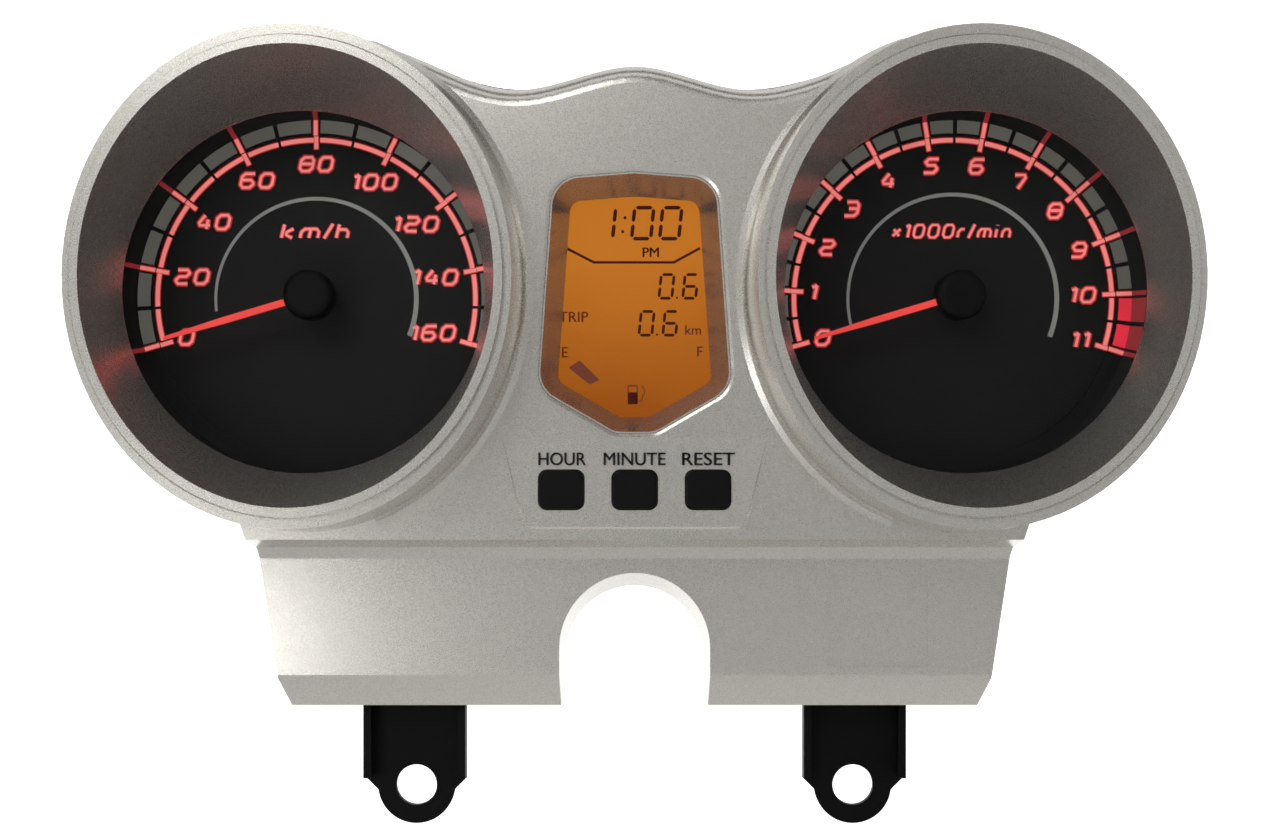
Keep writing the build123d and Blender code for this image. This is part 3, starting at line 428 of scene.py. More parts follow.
class Piece:
    """A new piece of the object, drawn in a plane and then raised to a solid."""

    def __init__(self, name: str, plane: Matrix) -> None:
        """Start an empty piece.

        Args:
            name: The piece's name.
            plane: From the piece's millimetres to the frame's metres.
        """
        self.name = name
        self.plane = plane
        self.bm = bmesh.new()

    def sweep(self, profile: Sequence[Point], start: float, end: float, taper: float = 0.0) -> None:
        """Spin a line of points round the piece's middle.

        Args:
            profile: The line's points, each a radius and a height, from the inside out.
            start: First angle, in degrees.
            end: Last angle, in degrees.
            taper: How much narrower the band starts than it ends.
        """
        steps = max(2, round(abs(end - start) / 2.0))
        turn = Matrix.Rotation(math.radians(start), 4, "Z")
        ends = [self.bm.verts.new(turn @ Vector((r, 0, h))) for r, h in profile]
        edges = [self.bm.edges.new(pair) for pair in zip(ends, ends[1:])]
        bmesh.ops.spin(
            self.bm, geom=[*ends, *edges], cent=(0, 0, 0), axis=(0, 0, 1),
            angle=math.radians(end - start), steps=steps,
        )
        if taper:
            rows = list(self.bm.verts)
            for step in range(steps + 1):
                near = rows[step * len(profile)]
                near.co = near.co.normalized() * (profile[0][0] + taper * (1 - step / steps))

    def plate(self, corners: Sequence[Point]) -> None:
        """Draw a flat polygon.

        Args:
            corners: Its corners in order.
        """
        self.bm.faces.new([self.bm.verts.new((x, y, 0)) for x, y in corners])

    def bar(self, start: Point, end: Point, width: float, point: float = 0.0, climb: float = 0.0) -> None:
        """Draw a straight bar.

        Args:
            start: The middle of its first end.
            end: The middle of its last end.
            width: Its width.
            point: How far its ends are cut back to points.
            climb: How much higher it ends than it starts.
        """
        a, b = Vector((*start, 0)), Vector((*end, climb))
        along = (b - a).normalized()
        across = Vector((-along.y, along.x, 0)).normalized() * width / 2
        tip = along * point
        ring = [a + tip - across, b - tip - across, b, b - tip + across, a + tip + across, a]
        if not point:
            ring = [ring[0], ring[1], ring[3], ring[4]]
        self.bm.faces.new([self.bm.verts.new(v) for v in ring])

    def disc(self, center: Point, radius: float, sides: int = 24) -> None:
        """Draw a flat disc.

        Args:
            center: Its centre.
            radius: Its radius.
            sides: How many sides stand for the circle.
        """
        bmesh.ops.create_circle(
            self.bm, cap_ends=True, segments=sides, radius=radius,
            matrix=Matrix.Translation((*center, 0)),
        )

    def text(self, words: str, center: Point, height: float, bold: float = 0.0, wide: float = 1.0) -> None:
        """Draw a word in the plain built-in face.

        Args:
            words: What it says.
            center: The middle of the word.
            height: The height of a capital.
            bold: How far the word is doubled to each side, in millimetres.
            wide: How much wider than usual the letters are.
        """
        curve = bpy.data.curves.new(self.name, "FONT")
        curve.body = words
        curve.align_x = "CENTER"
        curve.size = height / 0.72
        curve.resolution_u = 4
        holder = bpy.data.objects.new(self.name, curve)
        mesh = bpy.data.meshes.new_from_object(holder)
        move = Matrix.Translation((center[0] - bold, center[1] - height / 2, 0))
        mesh.transform(move @ Matrix.Scale(wide, 4, (1, 0, 0)))
        self.bm.from_mesh(mesh)
        if bold:
            mesh.transform(Matrix.Translation((2 * bold, 0, 0)))
            self.bm.from_mesh(mesh)
        bpy.data.objects.remove(holder)
        bpy.data.curves.remove(curve)
        bpy.data.meshes.remove(mesh)

    def strokes(self, lines: Iterable[tuple[Sequence[Point], bool]], width: float, tall: float) -> None:
        """Draw lines as low rounded ribbons, which are solids already.

        Args:
            lines: Each line's points, and whether it is closed.
            width: The ribbons' width.
            tall: How high they stand.
        """
        curve = bpy.data.curves.new(self.name, "CURVE")
        curve.dimensions = "3D"
        curve.bevel_depth = width / 2
        curve.bevel_resolution = 2
        curve.use_fill_caps = True
        for points, closed in lines:
            spline = curve.splines.new("POLY")
            spline.points.add(len(points) - 1)
            for place, (x, y) in zip(spline.points, points):
                place.co = (x, y, 0, 1)
            spline.use_cyclic_u = closed
        holder = bpy.data.objects.new(self.name, curve)
        mesh = bpy.data.meshes.new_from_object(holder)
        mesh.transform(Matrix.Scale(2 * tall / width, 4, (0, 0, 1)))
        self.bm.from_mesh(mesh)
        bpy.data.objects.remove(holder)
        bpy.data.curves.remove(curve)
        bpy.data.meshes.remove(mesh)

    def raise_up(self, tall: float) -> None:
        """Turn every flat face into a closed solid.

        Args:
            tall: The solid's height, along the plane's normal.
        """
        bmesh.ops.remove_doubles(self.bm, verts=self.bm.verts, dist=1e-5)
        bmesh.ops.recalc_face_normals(self.bm, faces=self.bm.faces)
        back = [f for f in self.bm.faces if f.normal.z < 0]
        bmesh.ops.reverse_faces(self.bm, faces=back)
        bmesh.ops.solidify(self.bm, geom=list(self.bm.faces), thickness=-tall)
        bmesh.ops.recalc_face_normals(self.bm, faces=self.bm.faces)

    def finish(self, body: str, slot: str, finish: Finish) -> None:
        """Put the piece in place.

        Args:
            body: The body that it rides on.
            slot: The record's material slot; not used.
            finish: Its finish.
        """
        mesh = bpy.data.meshes.new(self.name)
        self.bm.to_mesh(mesh)
        self.bm.free()
        mesh.transform(self.plane)
        for polygon in mesh.polygons:
            polygon.use_smooth = False
        mesh.materials.append(finish.material())
        piece = bpy.data.objects.new(self.name, mesh)
        bpy.context.scene.collection.objects.link(piece)
        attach(piece, body)
        LOG.info("%s: %d faces on %s", self.name, len(mesh.polygons), body)


# ---------------------------------------------------------------- dial lettering
class Face(Enum):
    """The squared strokes of the dial's letters, on a grid one wide and one high."""

    ZERO = ("0", 1.0, ([(0, 0), (1, 0), (1, 1), (0, 1)],))
    ONE = ("1", 0.35, [[(0.35, 1), (0.35, 0)], [(0.0, 0.84), (0.35, 1)]])
    TWO = ("2", 1.0, [[(0, 1), (1, 1), (1, 0.52), (0, 0.52), (0, 0), (1, 0)]])
    THREE = ("3", 1.0, [[(0, 1), (1, 1), (1, 0), (0, 0)], [(0.25, 0.52), (1, 0.52)]])
    FOUR = ("4", 1.0, [[(0.5, 1), (0, 0.27), (1.05, 0.27)], [(0.8, 0.7), (0.8, 0)]])
    FIVE = ("5", 1.0, [[(1, 1), (0, 1), (0, 0.55), (1, 0.55), (1, 0), (0, 0)]])
    SIX = ("6", 1.0, [[(1, 1), (0, 1), (0, 0), (1, 0), (1, 0.55), (0, 0.55)]])
    SEVEN = ("7", 1.0, [[(0, 1), (1, 1), (0.45, 0)]])
    EIGHT = ("8", 1.0, ([(0, 0), (1, 0), (1, 1), (0, 1)], [(0, 0.52), (1, 0.52)]))
    NINE = ("9", 1.0, [[(1, 0.45), (0, 0.45), (0, 1), (1, 1), (1, 0), (0, 0)]])
    K = ("k", 0.9, [[(0, 0), (0, 1)], [(0.75, 0.68), (0.1, 0.3), (0.8, 0)]])
    M = ("m", 1.3, [[(0, 0), (0, 0.66), (1.3, 0.66), (1.3, 0)], [(0.65, 0.66), (0.65, 0)]])
    N = ("n", 0.8, [[(0, 0), (0, 0.66), (0.8, 0.66), (0.8, 0)]])
    H = ("h", 0.8, [[(0, 0), (0, 1)], [(0, 0.62), (0.8, 0.62), (0.8, 0)]])
    R = ("r", 0.6, [[(0, 0), (0, 0.66), (0.6, 0.66)]])
    I = ("i", 0.1, [[(0, 0), (0, 0.66)], [(0, 0.94), (0, 1.0)]])
    X = ("x", 0.7, [[(0, 0.1), (0.7, 0.66)], [(0, 0.66), (0.7, 0.1)]])
    SLASH = ("/", 0.4, [[(0, -0.05), (0.4, 1.05)]])

    @property
    def sign(self) -> str:
        """The character."""
        return self.value[0]

    @property
    def width(self) -> float:
        """The character's width."""
        return self.value[1]

    def lines(self) -> list[tuple[list[Point], bool]]:
        """The character's lines, each with whether it is closed."""
        closed = isinstance(self.value[2], tuple)
        return [(list(line), closed and number == 0) for number, line in enumerate(self.value[2])]


@dataclass
class Lettering:
    """Words in the dial's squared, slanted letters."""

    height: float
    width: float
    stroke: float
    gap: float = 0.9
    slant: float = 0.2
    rounding: float = 0.22

    def length(self, words: str) -> float:
        """The length of a word, from outer edge to outer edge."""
        signs = {face.sign: face for face in Face}
        grid = sum(signs[s].width for s in words) * (self.width - self.stroke)
        return grid + len(words) * self.stroke + (len(words) - 1) * self.gap

    def soften(self, points: list[Point], closed: bool) -> list[Point]:
        """Cut the corners of a line.

        Args:
            points: The line's points.
            closed: Whether the line is closed.

        Returns:
            The line with two more points at each corner.
        """
        count = len(points)
        out: list[Point] = []
        for i, here in enumerate(points):
            if not closed and i in (0, count - 1):
                out.append(here)
                continue
            middle = Vector(here)
            before, after = Vector(points[i - 1]), Vector(points[(i + 1) % count])
            for other in (before, after):
                reach = min(self.rounding, (other - middle).length / 2)
                out.append(tuple(middle + (other - middle).normalized() * reach))
        return out

    def write(self, words: str, center: Point) -> list[tuple[list[Point], bool]]:
        """Lay out a word.

        Args:
            words: What it says.
            center: The middle of the word.

        Returns:
            Its lines, in millimetres.
        """
        signs = {face.sign: face for face in Face}
        across = self.width - self.stroke
        up = self.height - self.stroke
        pen = center[0] - self.length(words) / 2 + self.stroke / 2
        lines = []
        for sign in words:
            face = signs[sign]
            for points, closed in face.lines():
                placed = []
                for x, y in self.soften(points, closed):
                    high = (y - 0.5) * up
                    placed.append((pen + x * across + self.slant * high, center[1] + high))
                lines.append((placed, closed))
            pen += face.width * across + self.stroke + self.gap
        return lines


# ---------------------------------------------------------------- sub-assemblies
@dataclass
class GaugeFace:
    """The printing of one dial and its ring of lit panels."""

    gauge: str
    unit: str
    first_angle: float
    step_angle: float
    labels: tuple[str, ...]
    inner_arc: tuple[float, float, float]
    unit_letters: Lettering
    red_from: int = 99
    scale_r: tuple[float, float] = (41.1, 42.7)
    tick_r: float = 39.3
    ring_r: float = 42.95
    panel_r: tuple[float, float] = (43.6, 47.0)
    slope: tuple[float, float] = (50.9, 3.1)
    numeral_r: float = 37.9
    numerals: Lettering = field(default_factory=lambda: Lettering(4.7, 4.3, 1.05, 0.7, 0.22))
    ink: float = 0.05
    core: float = 0.09
    ring_step: float = 0.8
    tick_wide: float = 1.5
    core_inset: float = 0.5
    unit_at: Point = (-0.2, 17.9)
    arc_wide: float = 1.3
    arc_taper: float = 0.6
    tick_gap: float = 1.4
    tick_gap_after: float = 0.9
    half_gap: float = 0.5
    panel_gap: float = 1.6
    panel_half_gap: float = 0.7

    def __post_init__(self) -> None:
        """Find the dial in the frame."""
        low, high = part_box(f"{self.gauge}_dial")
        self.x, self.z = (low.x + high.x) / 2, (low.z + high.z) / 2
        self.top = low.y
        self.ring_face = self.top - self.ring_step * MM

    def angle(self, mark: float) -> float:
        """The direction of a mark on the scale, in degrees."""
        return self.first_angle - self.step_angle * mark

    def spoke(self, mark: float, radius: float) -> Point:
        """The place of a mark at a radius."""
        turn = math.radians(self.angle(mark))
        return radius * math.cos(turn), radius * math.sin(turn)

    def piece(self, name: str) -> Piece:
        """A new piece on the dial."""
        return Piece(f"{self.gauge}_{name}", facing(self.x, self.top, self.z))

    def scale(self) -> None:
        """The segmented red arc with its ticks, as a dark edge and a pale core."""
        for name, spread, lift, finish in (
            ("scale_edge", 0.0, self.ink, RED_EDGE), ("scale_core", self.core_inset, self.core, RED_CORE)
        ):
            piece = self.piece(name)
            for mark in range(len(self.labels) - 1):
                inner, outer = self.scale_r[0] + spread / 2, self.scale_r[1] - spread / 2
                for half, before, after in (
                    (0.0, self.tick_gap, self.half_gap), (0.5, self.half_gap, self.tick_gap_after)
                ):
                    start, end = self.angle(mark + half), self.angle(mark + half + 0.5)
                    piece.sweep(((inner, 0), (outer, 0)), start - before, end + after)
            for mark in range(len(self.labels)):
                start = self.spoke(mark, self.tick_r + spread / 2)
                piece.bar(start, self.spoke(mark, self.ring_r), self.tick_wide - spread)
            piece.raise_up(lift)
            piece.finish(HOUSING, "pointer_red", finish)

    def outer_ticks(self) -> None:
        """The outer ends of the long ticks, which stand on the chapter ring. Their last part, up the ring's
        slope, is drawn in a darker red as painted shade.
        """
        for name, spread, lift, finish in (
            ("tick_edge", 0.0, 0.06, RED_EDGE), ("tick_core", self.core_inset, 0.10, RED_CORE)
        ):
            piece = Piece(f"{self.gauge}_{name}", facing(self.x, self.ring_face, self.z))
            for mark in range(len(self.labels)):
                foot, knee = self.spoke(mark, self.ring_r), self.spoke(mark, self.panel_r[1])
                piece.bar(foot, knee, self.tick_wide - spread)
            piece.raise_up(lift)
            piece.finish(HOUSING, "pointer_red", finish)
        # The tick ends on the ring's slope: a darker red copy, painted shade.
        piece = Piece(f"{self.gauge}_tick_painted_shade", facing(self.x, self.ring_face, self.z))
        for mark in range(len(self.labels)):
            knee, end = self.spoke(mark, self.panel_r[1]), self.spoke(mark, self.slope[0])
            piece.bar(knee, end, 1.2, climb=self.slope[1])
        piece.raise_up(0.08)
        piece.finish(HOUSING, "pointer_red", RED_PAINTED_SHADE)

    def writing(self) -> None:
        """The numerals and the unit, as a dark edge and a pale core."""
        lines = []
        for mark, label in enumerate(self.labels):
            turn = math.radians(self.angle(mark))
            half = self.numerals.length(label) / 2
            reach = math.hypot(half * math.cos(turn), self.numerals.height / 2 * math.sin(turn))
            lines += self.numerals.write(label, self.spoke(mark, self.numeral_r - reach))
        unit = self.unit_letters.write(self.unit, self.unit_at)
        for name, extra, tall, finish in (
            ("numerals_edge", 0.5, self.ink, RED_EDGE), ("numerals_core", -0.15, self.core, RED_CORE)
        ):
            piece = self.piece(name)
            piece.strokes(lines, self.numerals.stroke + extra, tall)
            piece.strokes(unit, self.unit_letters.stroke + extra * 0.6, tall)
            piece.finish(HOUSING, "pointer_red", finish)

    def lines(self) -> None:
        """The thin grey arc inside the numerals."""
        radius, start, end = self.inner_arc
        piece = self.piece("inner_arc")
        inner, outer = radius - self.arc_wide / 2, radius + self.arc_wide / 2
        piece.sweep(((inner, 0), (outer, 0)), end, start, self.arc_taper)
        piece.raise_up(self.ink)
        piece.finish(HOUSING, "dial_black", GREY_PRINT)

    def panels(self) -> None:
        """The lit panels between the ticks of the chapter ring. The red panels go on up the ring's slope in
        a darker red, as painted shade.
        """
        plane = facing(self.x, self.ring_face, self.z)
        plain, red, red_edge = (
            Piece(f"{self.gauge}_{name}", plane) for name in ("panels", "red_panels", "red_panel_painted_shade")
        )
        knee = (self.panel_r[1], 0.0)
        for step in range(2 * len(self.labels) - 2):
            mark = step / 2
            is_red = mark >= self.red_from
            before, after = self.panel_gap, self.panel_half_gap
            if step % 2:
                before, after = after, before
            start, end = self.angle(mark) - before, self.angle(mark + 0.5) + after
            (red if is_red else plain).sweep(((self.panel_r[0], 0.0), knee), start, end)
            if is_red:
                # The red panels' part on the slope, in a darker red: painted shade.
                red_edge.sweep((knee, self.slope), start, end)
        for piece, finish in ((plain, PANEL), (red, RED_PANEL), (red_edge, RED_PAINTED_SHADE)):
            if piece.bm.faces:
                piece.raise_up(0.05)
                piece.finish(HOUSING, "dial_black", finish)

    def build(self) -> None:
        """Build everything on this dial."""
        self.scale()
        self.outer_ticks()
        self.writing()
        self.lines()
        self.panels()


@dataclass
class Display:
    """What the display shows: the time, two distances and the fuel level."""

    digit_slant: float = 0.10
    ink: float = 0.04
    clock_foot: float = 143.1
    clock_digit: tuple[float, float, float] = (5.9, 9.0, 0.95)
    trip_digit: tuple[float, float, float] = (4.1, 6.9, 0.75)
    trip_step: float = 6.2
    point_step: float = 5.1
    bold: float = 0.07
    segments: ClassVar[dict[str, str]] = {"0": "abcdef", "1": "bc", "6": "acdefg"}

    def __post_init__(self) -> None:
        """Find the display in the frame."""
        low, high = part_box("lcd_glass")
        self.plane = facing((low.x + high.x) / 2, low.y, 0.0)

    def digit(self, piece: Piece, sign: str, left: float, low: float, width: float, height: float,
              stroke: float) -> None:
        """Draw one seven-segment digit.

        Args:
            piece: The piece that takes it.
            sign: The digit.
            left: Its left edge.
            low: Its foot.
            width: Its width without the slant.
            height: Its height.
            stroke: The segments' width.
        """
        lean = self.digit_slant
        l, r, s = left + stroke / 2, left + width - stroke / 2, stroke / 2
        b, m, t = low + s, low + height / 2, low + height - s
        ends = {
            "a": ((l, t), (r, t)), "b": ((r, m), (r, t)), "c": ((r, b), (r, m)),
            "d": ((l, b), (r, b)), "e": ((l, b), (l, m)), "f": ((l, m), (l, t)),
            "g": ((l, m), (r, m)),
        }
        for key in self.segments[sign]:
            (x0, y0), (x1, y1) = ends[key]
            along = Vector((x1 - x0, y1 - y0)).normalized() * (stroke * 0.28)
            start = (x0 + along.x + lean * (y0 - low), y0 + along.y)
            end = (x1 - along.x + lean * (y1 - low), y1 - along.y)
            piece.bar(start, end, stroke, stroke / 2)

    def build(self) -> None:
        """Build the display's dark and faint marks."""
        dark = Piece("lcd_marks", self.plane)
        for sign, left in (("1", -11.2), ("0", -1.3), ("0", 6.0)):
            self.digit(dark, sign, left, self.clock_foot, *self.clock_digit)
        for left, low in ((5.9, 127.7), (0.7, 118.1)):
            self.digit(dark, "0", left, low, *self.trip_digit)
            self.digit(dark, "6", left + self.trip_step, low, *self.trip_digit)
            dark.disc((left + self.point_step, low + 0.5), 0.3, 12)
        for x, y in ((-2.5, 149.0), (-3.1, 145.4)):
            dark.disc((x, y), 0.42, 12)
        for start, end in (((-17.6, 141.0), (-10.4, 137.3)), ((-10.6, 137.4), (10.2, 137.4)),
                           ((10.0, 137.3), (17.0, 141.1))):
            dark.bar(start, end, 0.65)
        dark.plate([(-1.8, 100.5), (0.8, 100.5), (0.8, 103.6), (-1.8, 103.6)])
        dark.text("PM", (4.2, 140.1), 2.6, self.bold)
        dark.raise_up(self.ink)
        dark.finish(HOUSING, "lcd_amber", LCD_INK)
        faint = Piece("lcd_faint_marks", self.plane)
        faint.text("km", (15.2, 119.9), 2.6, self.bold)
        faint.text("TRIP", (-15.9, 123.3), 2.8, self.bold)
        faint.text("E", (-18.2, 114.1), 2.8, self.bold)
        faint.text("F", (16.9, 114.3), 2.7, self.bold)
        faint.plate([(-17.2, 110.0), (-11.7, 105.6), (-9.1, 106.8), (-14.3, 111.9)])
        faint.bar((-1.8, 105.3), (0.8, 105.3), 0.45)
        faint.bar((-1.7, 103.5), (-1.7, 105.2), 0.35)
        faint.bar((0.7, 103.5), (0.7, 105.2), 0.35)
        faint.raise_up(self.ink)
        hose = [(0.8, 101.4), (1.5, 101.2), (1.9, 101.6), (2.0, 102.6), (2.5, 103.2), (2.5, 104.3),
                (1.9, 105.3)]
        faint.strokes([(hose, False)], 0.35, self.ink)
        faint.finish(HOUSING, "lcd_amber", LCD_FAINT)


@dataclass
class KeyPlate:
    """The words above the three buttons."""

    words: tuple[str, ...] = ("HOUR", "MINUTE", "RESET")
    keys: tuple[str, ...] = ("hour", "minute", "reset")
    nudges: tuple[float, ...] = (0.1, -0.1, -0.05)
    widths: tuple[float, ...] = (0.93, 0.96, 1.12)
    height: float = 3.3
    above: float = 2.1
    button_proud: float = 0.8
    bold: float = 0.08

    def build(self) -> None:
        """Build the words."""
        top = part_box("minute_button")[1].z / MM
        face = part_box("hour_button")[0].y + self.button_proud * MM
        piece = Piece("key_words", facing(0.0, face, 0.0))
        for word, key, nudge, wide in zip(self.words, self.keys, self.nudges, self.widths):
            key_low, key_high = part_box(f"{key}_button")
            x = (key_low.x + key_high.x) / 2 / MM + nudge
            piece.text(word, (x, top + self.above), self.height, self.bold, wide)
        piece.raise_up(0.03)
        piece.finish(HOUSING, "button_black", INK)


@dataclass
class RearDetail:
    """Moulded ribs on the housing's back, and the pins in its socket."""

    rings: tuple[float, ...] = (18.0, 40.0)
    ring_wide: float = 1.6
    rib_angles: tuple[int, ...] = (0, 60, 120, 180, 240, 300)
    rib_tall: float = 1.2
    bridge_ribs: tuple[float, ...] = (108.0, 102.0, 96.0)
    bridge_rib_half: float = 16.0
    bridge_recess: float = 7.0
    pin_pitch: float = 3.0
    pin_columns: int = 8
    pin_tall: float = 7.0
    socket_deep: float = 10.0
    pin_r: float = 0.45

    def pod_ribs(self, gauge: str, back: float) -> None:
        """Build the rings and spokes behind a gauge.

        Args:
            gauge: The gauge's name.
            back: Where the housing ends, in metres.
        """
        low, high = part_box(f"{gauge}_dial")
        middle = (low + high) / 2
        piece = Piece(f"{gauge}_rear_ribs", facing_back(middle.x, back, middle.z))
        for radius in self.rings:
            piece.sweep(((radius, 0.0), (radius + self.ring_wide, 0.0)), 0.0, 360.0)
        for angle in self.rib_angles:
            way = Vector((math.cos(math.radians(angle)), math.sin(math.radians(angle))))
            piece.bar(way * (self.rings[0] + self.ring_wide), way * self.rings[1], self.ring_wide)
        piece.raise_up(self.rib_tall)
        piece.finish(HOUSING, "housing_black", HOUSING_BLACK)

    def build(self) -> None:
        """Build the ribs and the pins."""
        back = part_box("rear_housing")[1].y
        for gauge in ("speedo", "tacho"):
            self.pod_ribs(gauge, back)
        piece = Piece("bridge_rear_ribs", facing_back(0.0, back - self.bridge_recess * MM, 0.0))
        for height in self.bridge_ribs:
            piece.bar((-self.bridge_rib_half, height), (self.bridge_rib_half, height), self.ring_wide)
        piece.raise_up(self.rib_tall)
        piece.finish(HOUSING, "housing_black", HOUSING_BLACK)
        low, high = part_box("connector_header")
        floor = high.y - self.socket_deep * MM
        pins = Piece("socket_pins", facing_back(0.0, floor, (low.z + high.z) / 2))
        for column in range(self.pin_columns):
            x = (column - (self.pin_columns - 1) / 2) * self.pin_pitch
            for row in (-0.5, 0.5):
                pins.disc((x, row * self.pin_pitch), self.pin_r, 4)
        pins.raise_up(self.pin_tall)
        pins.finish(HOUSING, "zinc_steel", ZINC)


@dataclass
class Dress:
    """The finishes of the parts that come from the frame."""

    by_node: ClassVar[dict[str, Finish]] = {
        "front_cover": SILVER, "rear_housing": HOUSING_BLACK, "vent_cap": HOUSING_BLACK,
        "seal": SOFT_RUBBER, "lcd_lens": CLEAR, "lcd_glass": AMBER, "lcd_diffuser": MILKY,
        "lcd_frame": INNER_BLACK, "lcd_contact_strip": SOFT_RUBBER, "circuit_board": BOARD,
        "microcontroller": INNER_BLACK, "leds": MILKY, "connector_header": IVORY,
        "switch_bodies": INNER_BLACK, "housing_screws": ZINC, "board_screws": ZINC,
        "left_bracket": LEG_BLACK, "right_bracket": LEG_BLACK, "mount_grommets": SOFT_RUBBER,
        "mount_collars": ZINC, "mount_bolts": ZINC, "mount_washers": ZINC, "mount_nuts": ZINC,
    }
    by_ending: ClassVar[dict[str, Finish]] = {
        "_lens": CLEAR, "_shroud": INNER_BLACK, "_chapter_ring": DIAL_BLACK, "_dial": DIAL_BLACK,
        "_light_guide": MILKY, "_pointer": NEEDLE_RED, "_hub": HUB_BLACK, "_spindle": ZINC,
        "_magnet": FERRITE, "_bobbin_front": IVORY, "_bobbin_rear": IVORY, "_coil_inner": COPPER,
        "_coil_outer": COPPER, "_shield": ZINC, "_button": RUBBER, "_push_rod": IVORY,
        "_switch_stem": IVORY,
    }

    def finish_of(self, node: str) -> Finish:
        """The finish of a node.

        Args:
            node: The node's name.

        Returns:
            Its finish.
        """
        if node in self.by_node:
            return self.by_node[node]
        return next(f for ending, f in self.by_ending.items() if node.endswith(ending))

    def apply(self) -> None:
        """Give every node its finish."""
        for name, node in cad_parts.items():
            node.data.materials.clear()
            node.data.materials.append(self.finish_of(name).material())
        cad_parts["lcd_glass"].visible_glossy = False


# ---------------------------------------------------------------- studio
@dataclass(frozen=True)
class Lamp:
    """A rectangular area light, with its power in watts."""

    name: str
    place: Color
    target: Color
    size: Point
    power: float

    def build(self) -> None:
        """Add the lamp, aimed at its target and unseen by the camera."""
        data = bpy.data.lights.new(self.name, "AREA")
        data.shape = "RECTANGLE"
        data.size, data.size_y = self.size
        data.energy = self.power
        lamp = bpy.data.objects.new(self.name, data)
        bpy.context.scene.collection.objects.link(lamp)
        lamp.location = self.place
        lamp.visible_camera = False
        aim = Vector(self.target) - Vector(self.place)
        lamp.rotation_euler = aim.to_track_quat("-Z", "Y").to_euler()


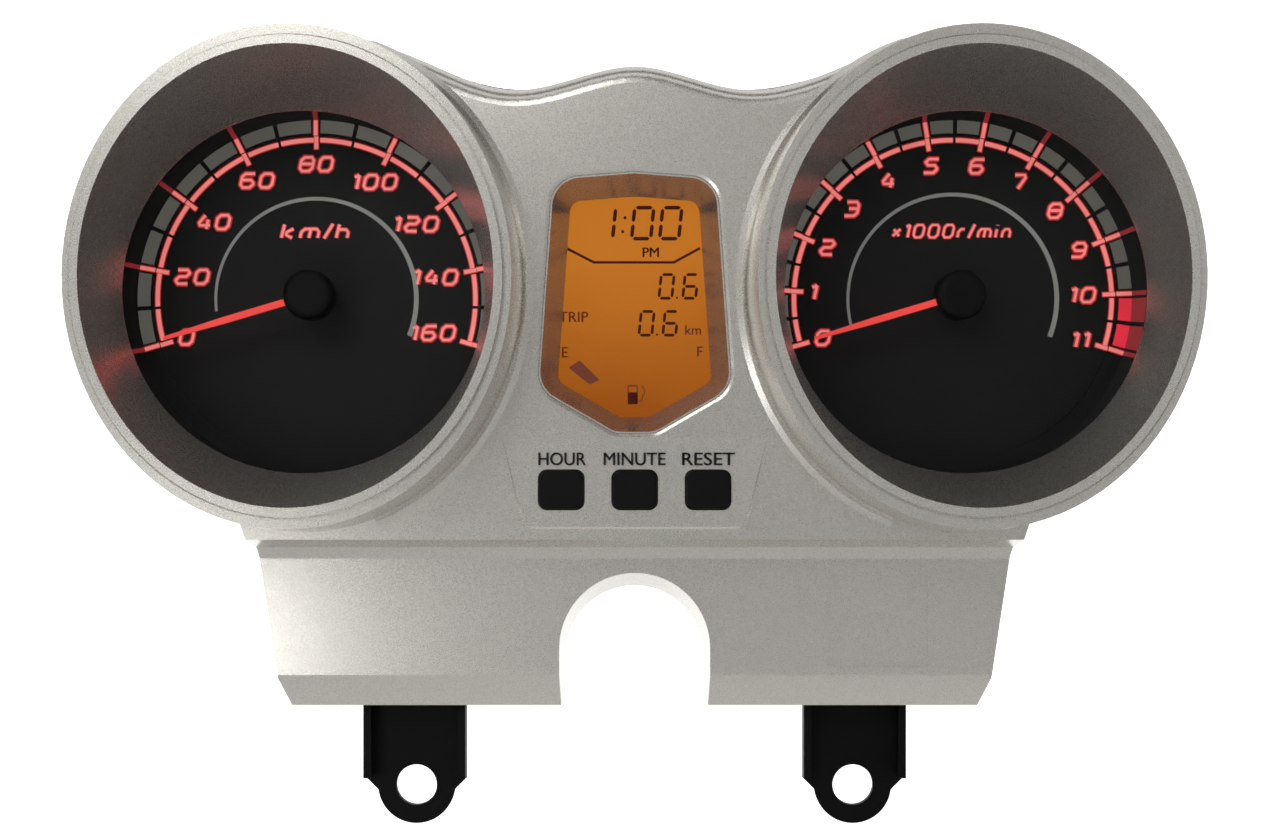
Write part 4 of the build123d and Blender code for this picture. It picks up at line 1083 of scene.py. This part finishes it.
@dataclass
class Studio:
    """A pale round floor and backdrop, soft lights and the camera."""

    eye: Color = (0.0, -0.475, 0.0834)
    lens: float = 50.47
    shift: Point = (0.0034, 0.0446)
    floor_z: float = -0.055
    reach: float = 1.7
    cove: float = 0.5
    wall: float = 1.6
    cove_steps: int = 8
    turn_steps: int = 96
    world_light: float = 0.05
    middle: ClassVar[Color] = (0.0, 0.0, 0.11)
    lamps: ClassVar[tuple[Lamp, ...]] = (
        Lamp("key", (-0.30, -0.78, 0.58), (0.0, 0.0, 0.17), (0.40, 0.30), 2.0),
        Lamp("fill", (0.34, -0.90, 0.20), middle, (0.4, 0.3), 0.05),
        Lamp("table", (-0.32, -0.52, -0.03), (-0.05, 0.0, 0.05), (0.24, 0.09), 0.50),
        Lamp("overhead", (0.0, -0.45, 1.10), middle, (0.9, 0.4), 1.2),
        Lamp("left_strip", (-0.95, -0.32, 0.22), middle, (0.25, 0.8), 3.4),
        Lamp("right_strip", (0.95, -0.30, 0.18), middle, (0.25, 0.8), 2.8),
        Lamp("ceiling", (0.0, 0.45, 1.2), middle, (0.8, 0.8), 2.0),
    )

    def backdrop(self) -> None:
        """The floor and the wall round it, as one spun sheet."""
        bm = bmesh.new()
        profile = [(0.0, 0.0), (0.4, 0.0), (self.reach - self.cove, 0.0)]
        for step in range(1, self.cove_steps + 1):
            turn = math.radians(90 * step / self.cove_steps)
            profile.append((self.reach - self.cove * (1 - math.sin(turn)), self.cove * (1 - math.cos(turn))))
        profile.append((self.reach, self.wall))
        verts = [bm.verts.new((x, 0, z + self.floor_z)) for x, z in profile]
        edges = [bm.edges.new(pair) for pair in zip(verts, verts[1:])]
        bmesh.ops.spin(
            bm, geom=[*verts, *edges], cent=(0, 0, 0), axis=(0, 0, 1), angle=math.tau,
            steps=self.turn_steps, use_merge=True,
        )
        bmesh.ops.remove_doubles(bm, verts=bm.verts, dist=1e-5)
        mesh = bpy.data.meshes.new("floor")
        bm.to_mesh(mesh)
        bm.free()
        for polygon in mesh.polygons:
            polygon.use_smooth = True
        graph = Graph("floor_paper")
        paper = graph.noise(8.0)
        depth = graph.along("Y", -0.1, 0.2)
        graph.set(
            Base_Color=graph.tint(paper, (0.62, 0.62, 0.62), (0.64, 0.64, 0.64)),
            Roughness=0.95,
            Specular_IOR_Level=0.1,
            Emission_Color=graph.tint(depth, (0.05, 0.05, 0.05), (1.0, 1.0, 1.0)),
            Emission_Strength=1.0,
        )
        mesh.materials.append(graph.material)
        floor = bpy.data.objects.new("floor", mesh)
        bpy.context.scene.collection.objects.link(floor)

    def camera(self) -> None:
        """Add the camera, level and straight on."""
        data = bpy.data.cameras.new("camera")
        data.lens = self.lens
        data.sensor_width = 36.0
        data.shift_x, data.shift_y = self.shift
        data.clip_start = 0.01
        camera = bpy.data.objects.new("camera", data)
        bpy.context.scene.collection.objects.link(camera)
        camera.location = self.eye
        camera.rotation_euler = (math.radians(90), 0, 0)
        bpy.context.scene.camera = camera

    def build(self) -> None:
        """Build the studio."""
        self.backdrop()
        for lamp in self.lamps:
            lamp.build()
        world = bpy.data.worlds.new("studio")
        world.use_nodes = True
        background = world.node_tree.nodes["Background"]
        background.inputs[0].default_value = (1.0, 1.0, 1.0, 1.0)
        background.inputs[1].default_value = self.world_light
        bpy.context.scene.world = world
        bpy.context.scene.view_settings.view_transform = "Standard"
        self.camera()


def corners(pair: Any) -> list[list[float]]:
    """A box's two corners as plain numbers."""
    return [[round(float(c), 6) for c in corner] for corner in pair]


def main() -> None:
    """Build the looks of the whole cluster."""
    logging.basicConfig(level=logging.INFO, format="%(name)s %(message)s")
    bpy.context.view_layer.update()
    Studio().build()
    Dress().apply()
    speed_labels = tuple(str(20 * n) for n in range(9))
    rev_labels = tuple(str(n) for n in range(12))
    gauges = (
        GaugeFace("speedo", "km/h", 196.5, 26.6, speed_labels, (26.3, -21.7, 187.0),
                  Lettering(4.5, 4.5, 0.95, 0.8, 0.25)),
        GaugeFace("tacho", "x1000r/min", 196.7, 19.5, rev_labels, (27.4, -21.3, 195.0),
                  Lettering(4.1, 3.25, 0.8, 0.65, 0.22), red_from=10),
    )
    for gauge in gauges:
        gauge.build()
    Display().build()
    KeyPlate().build()
    RearDetail().build()


if __name__ == "__main__":
    main()
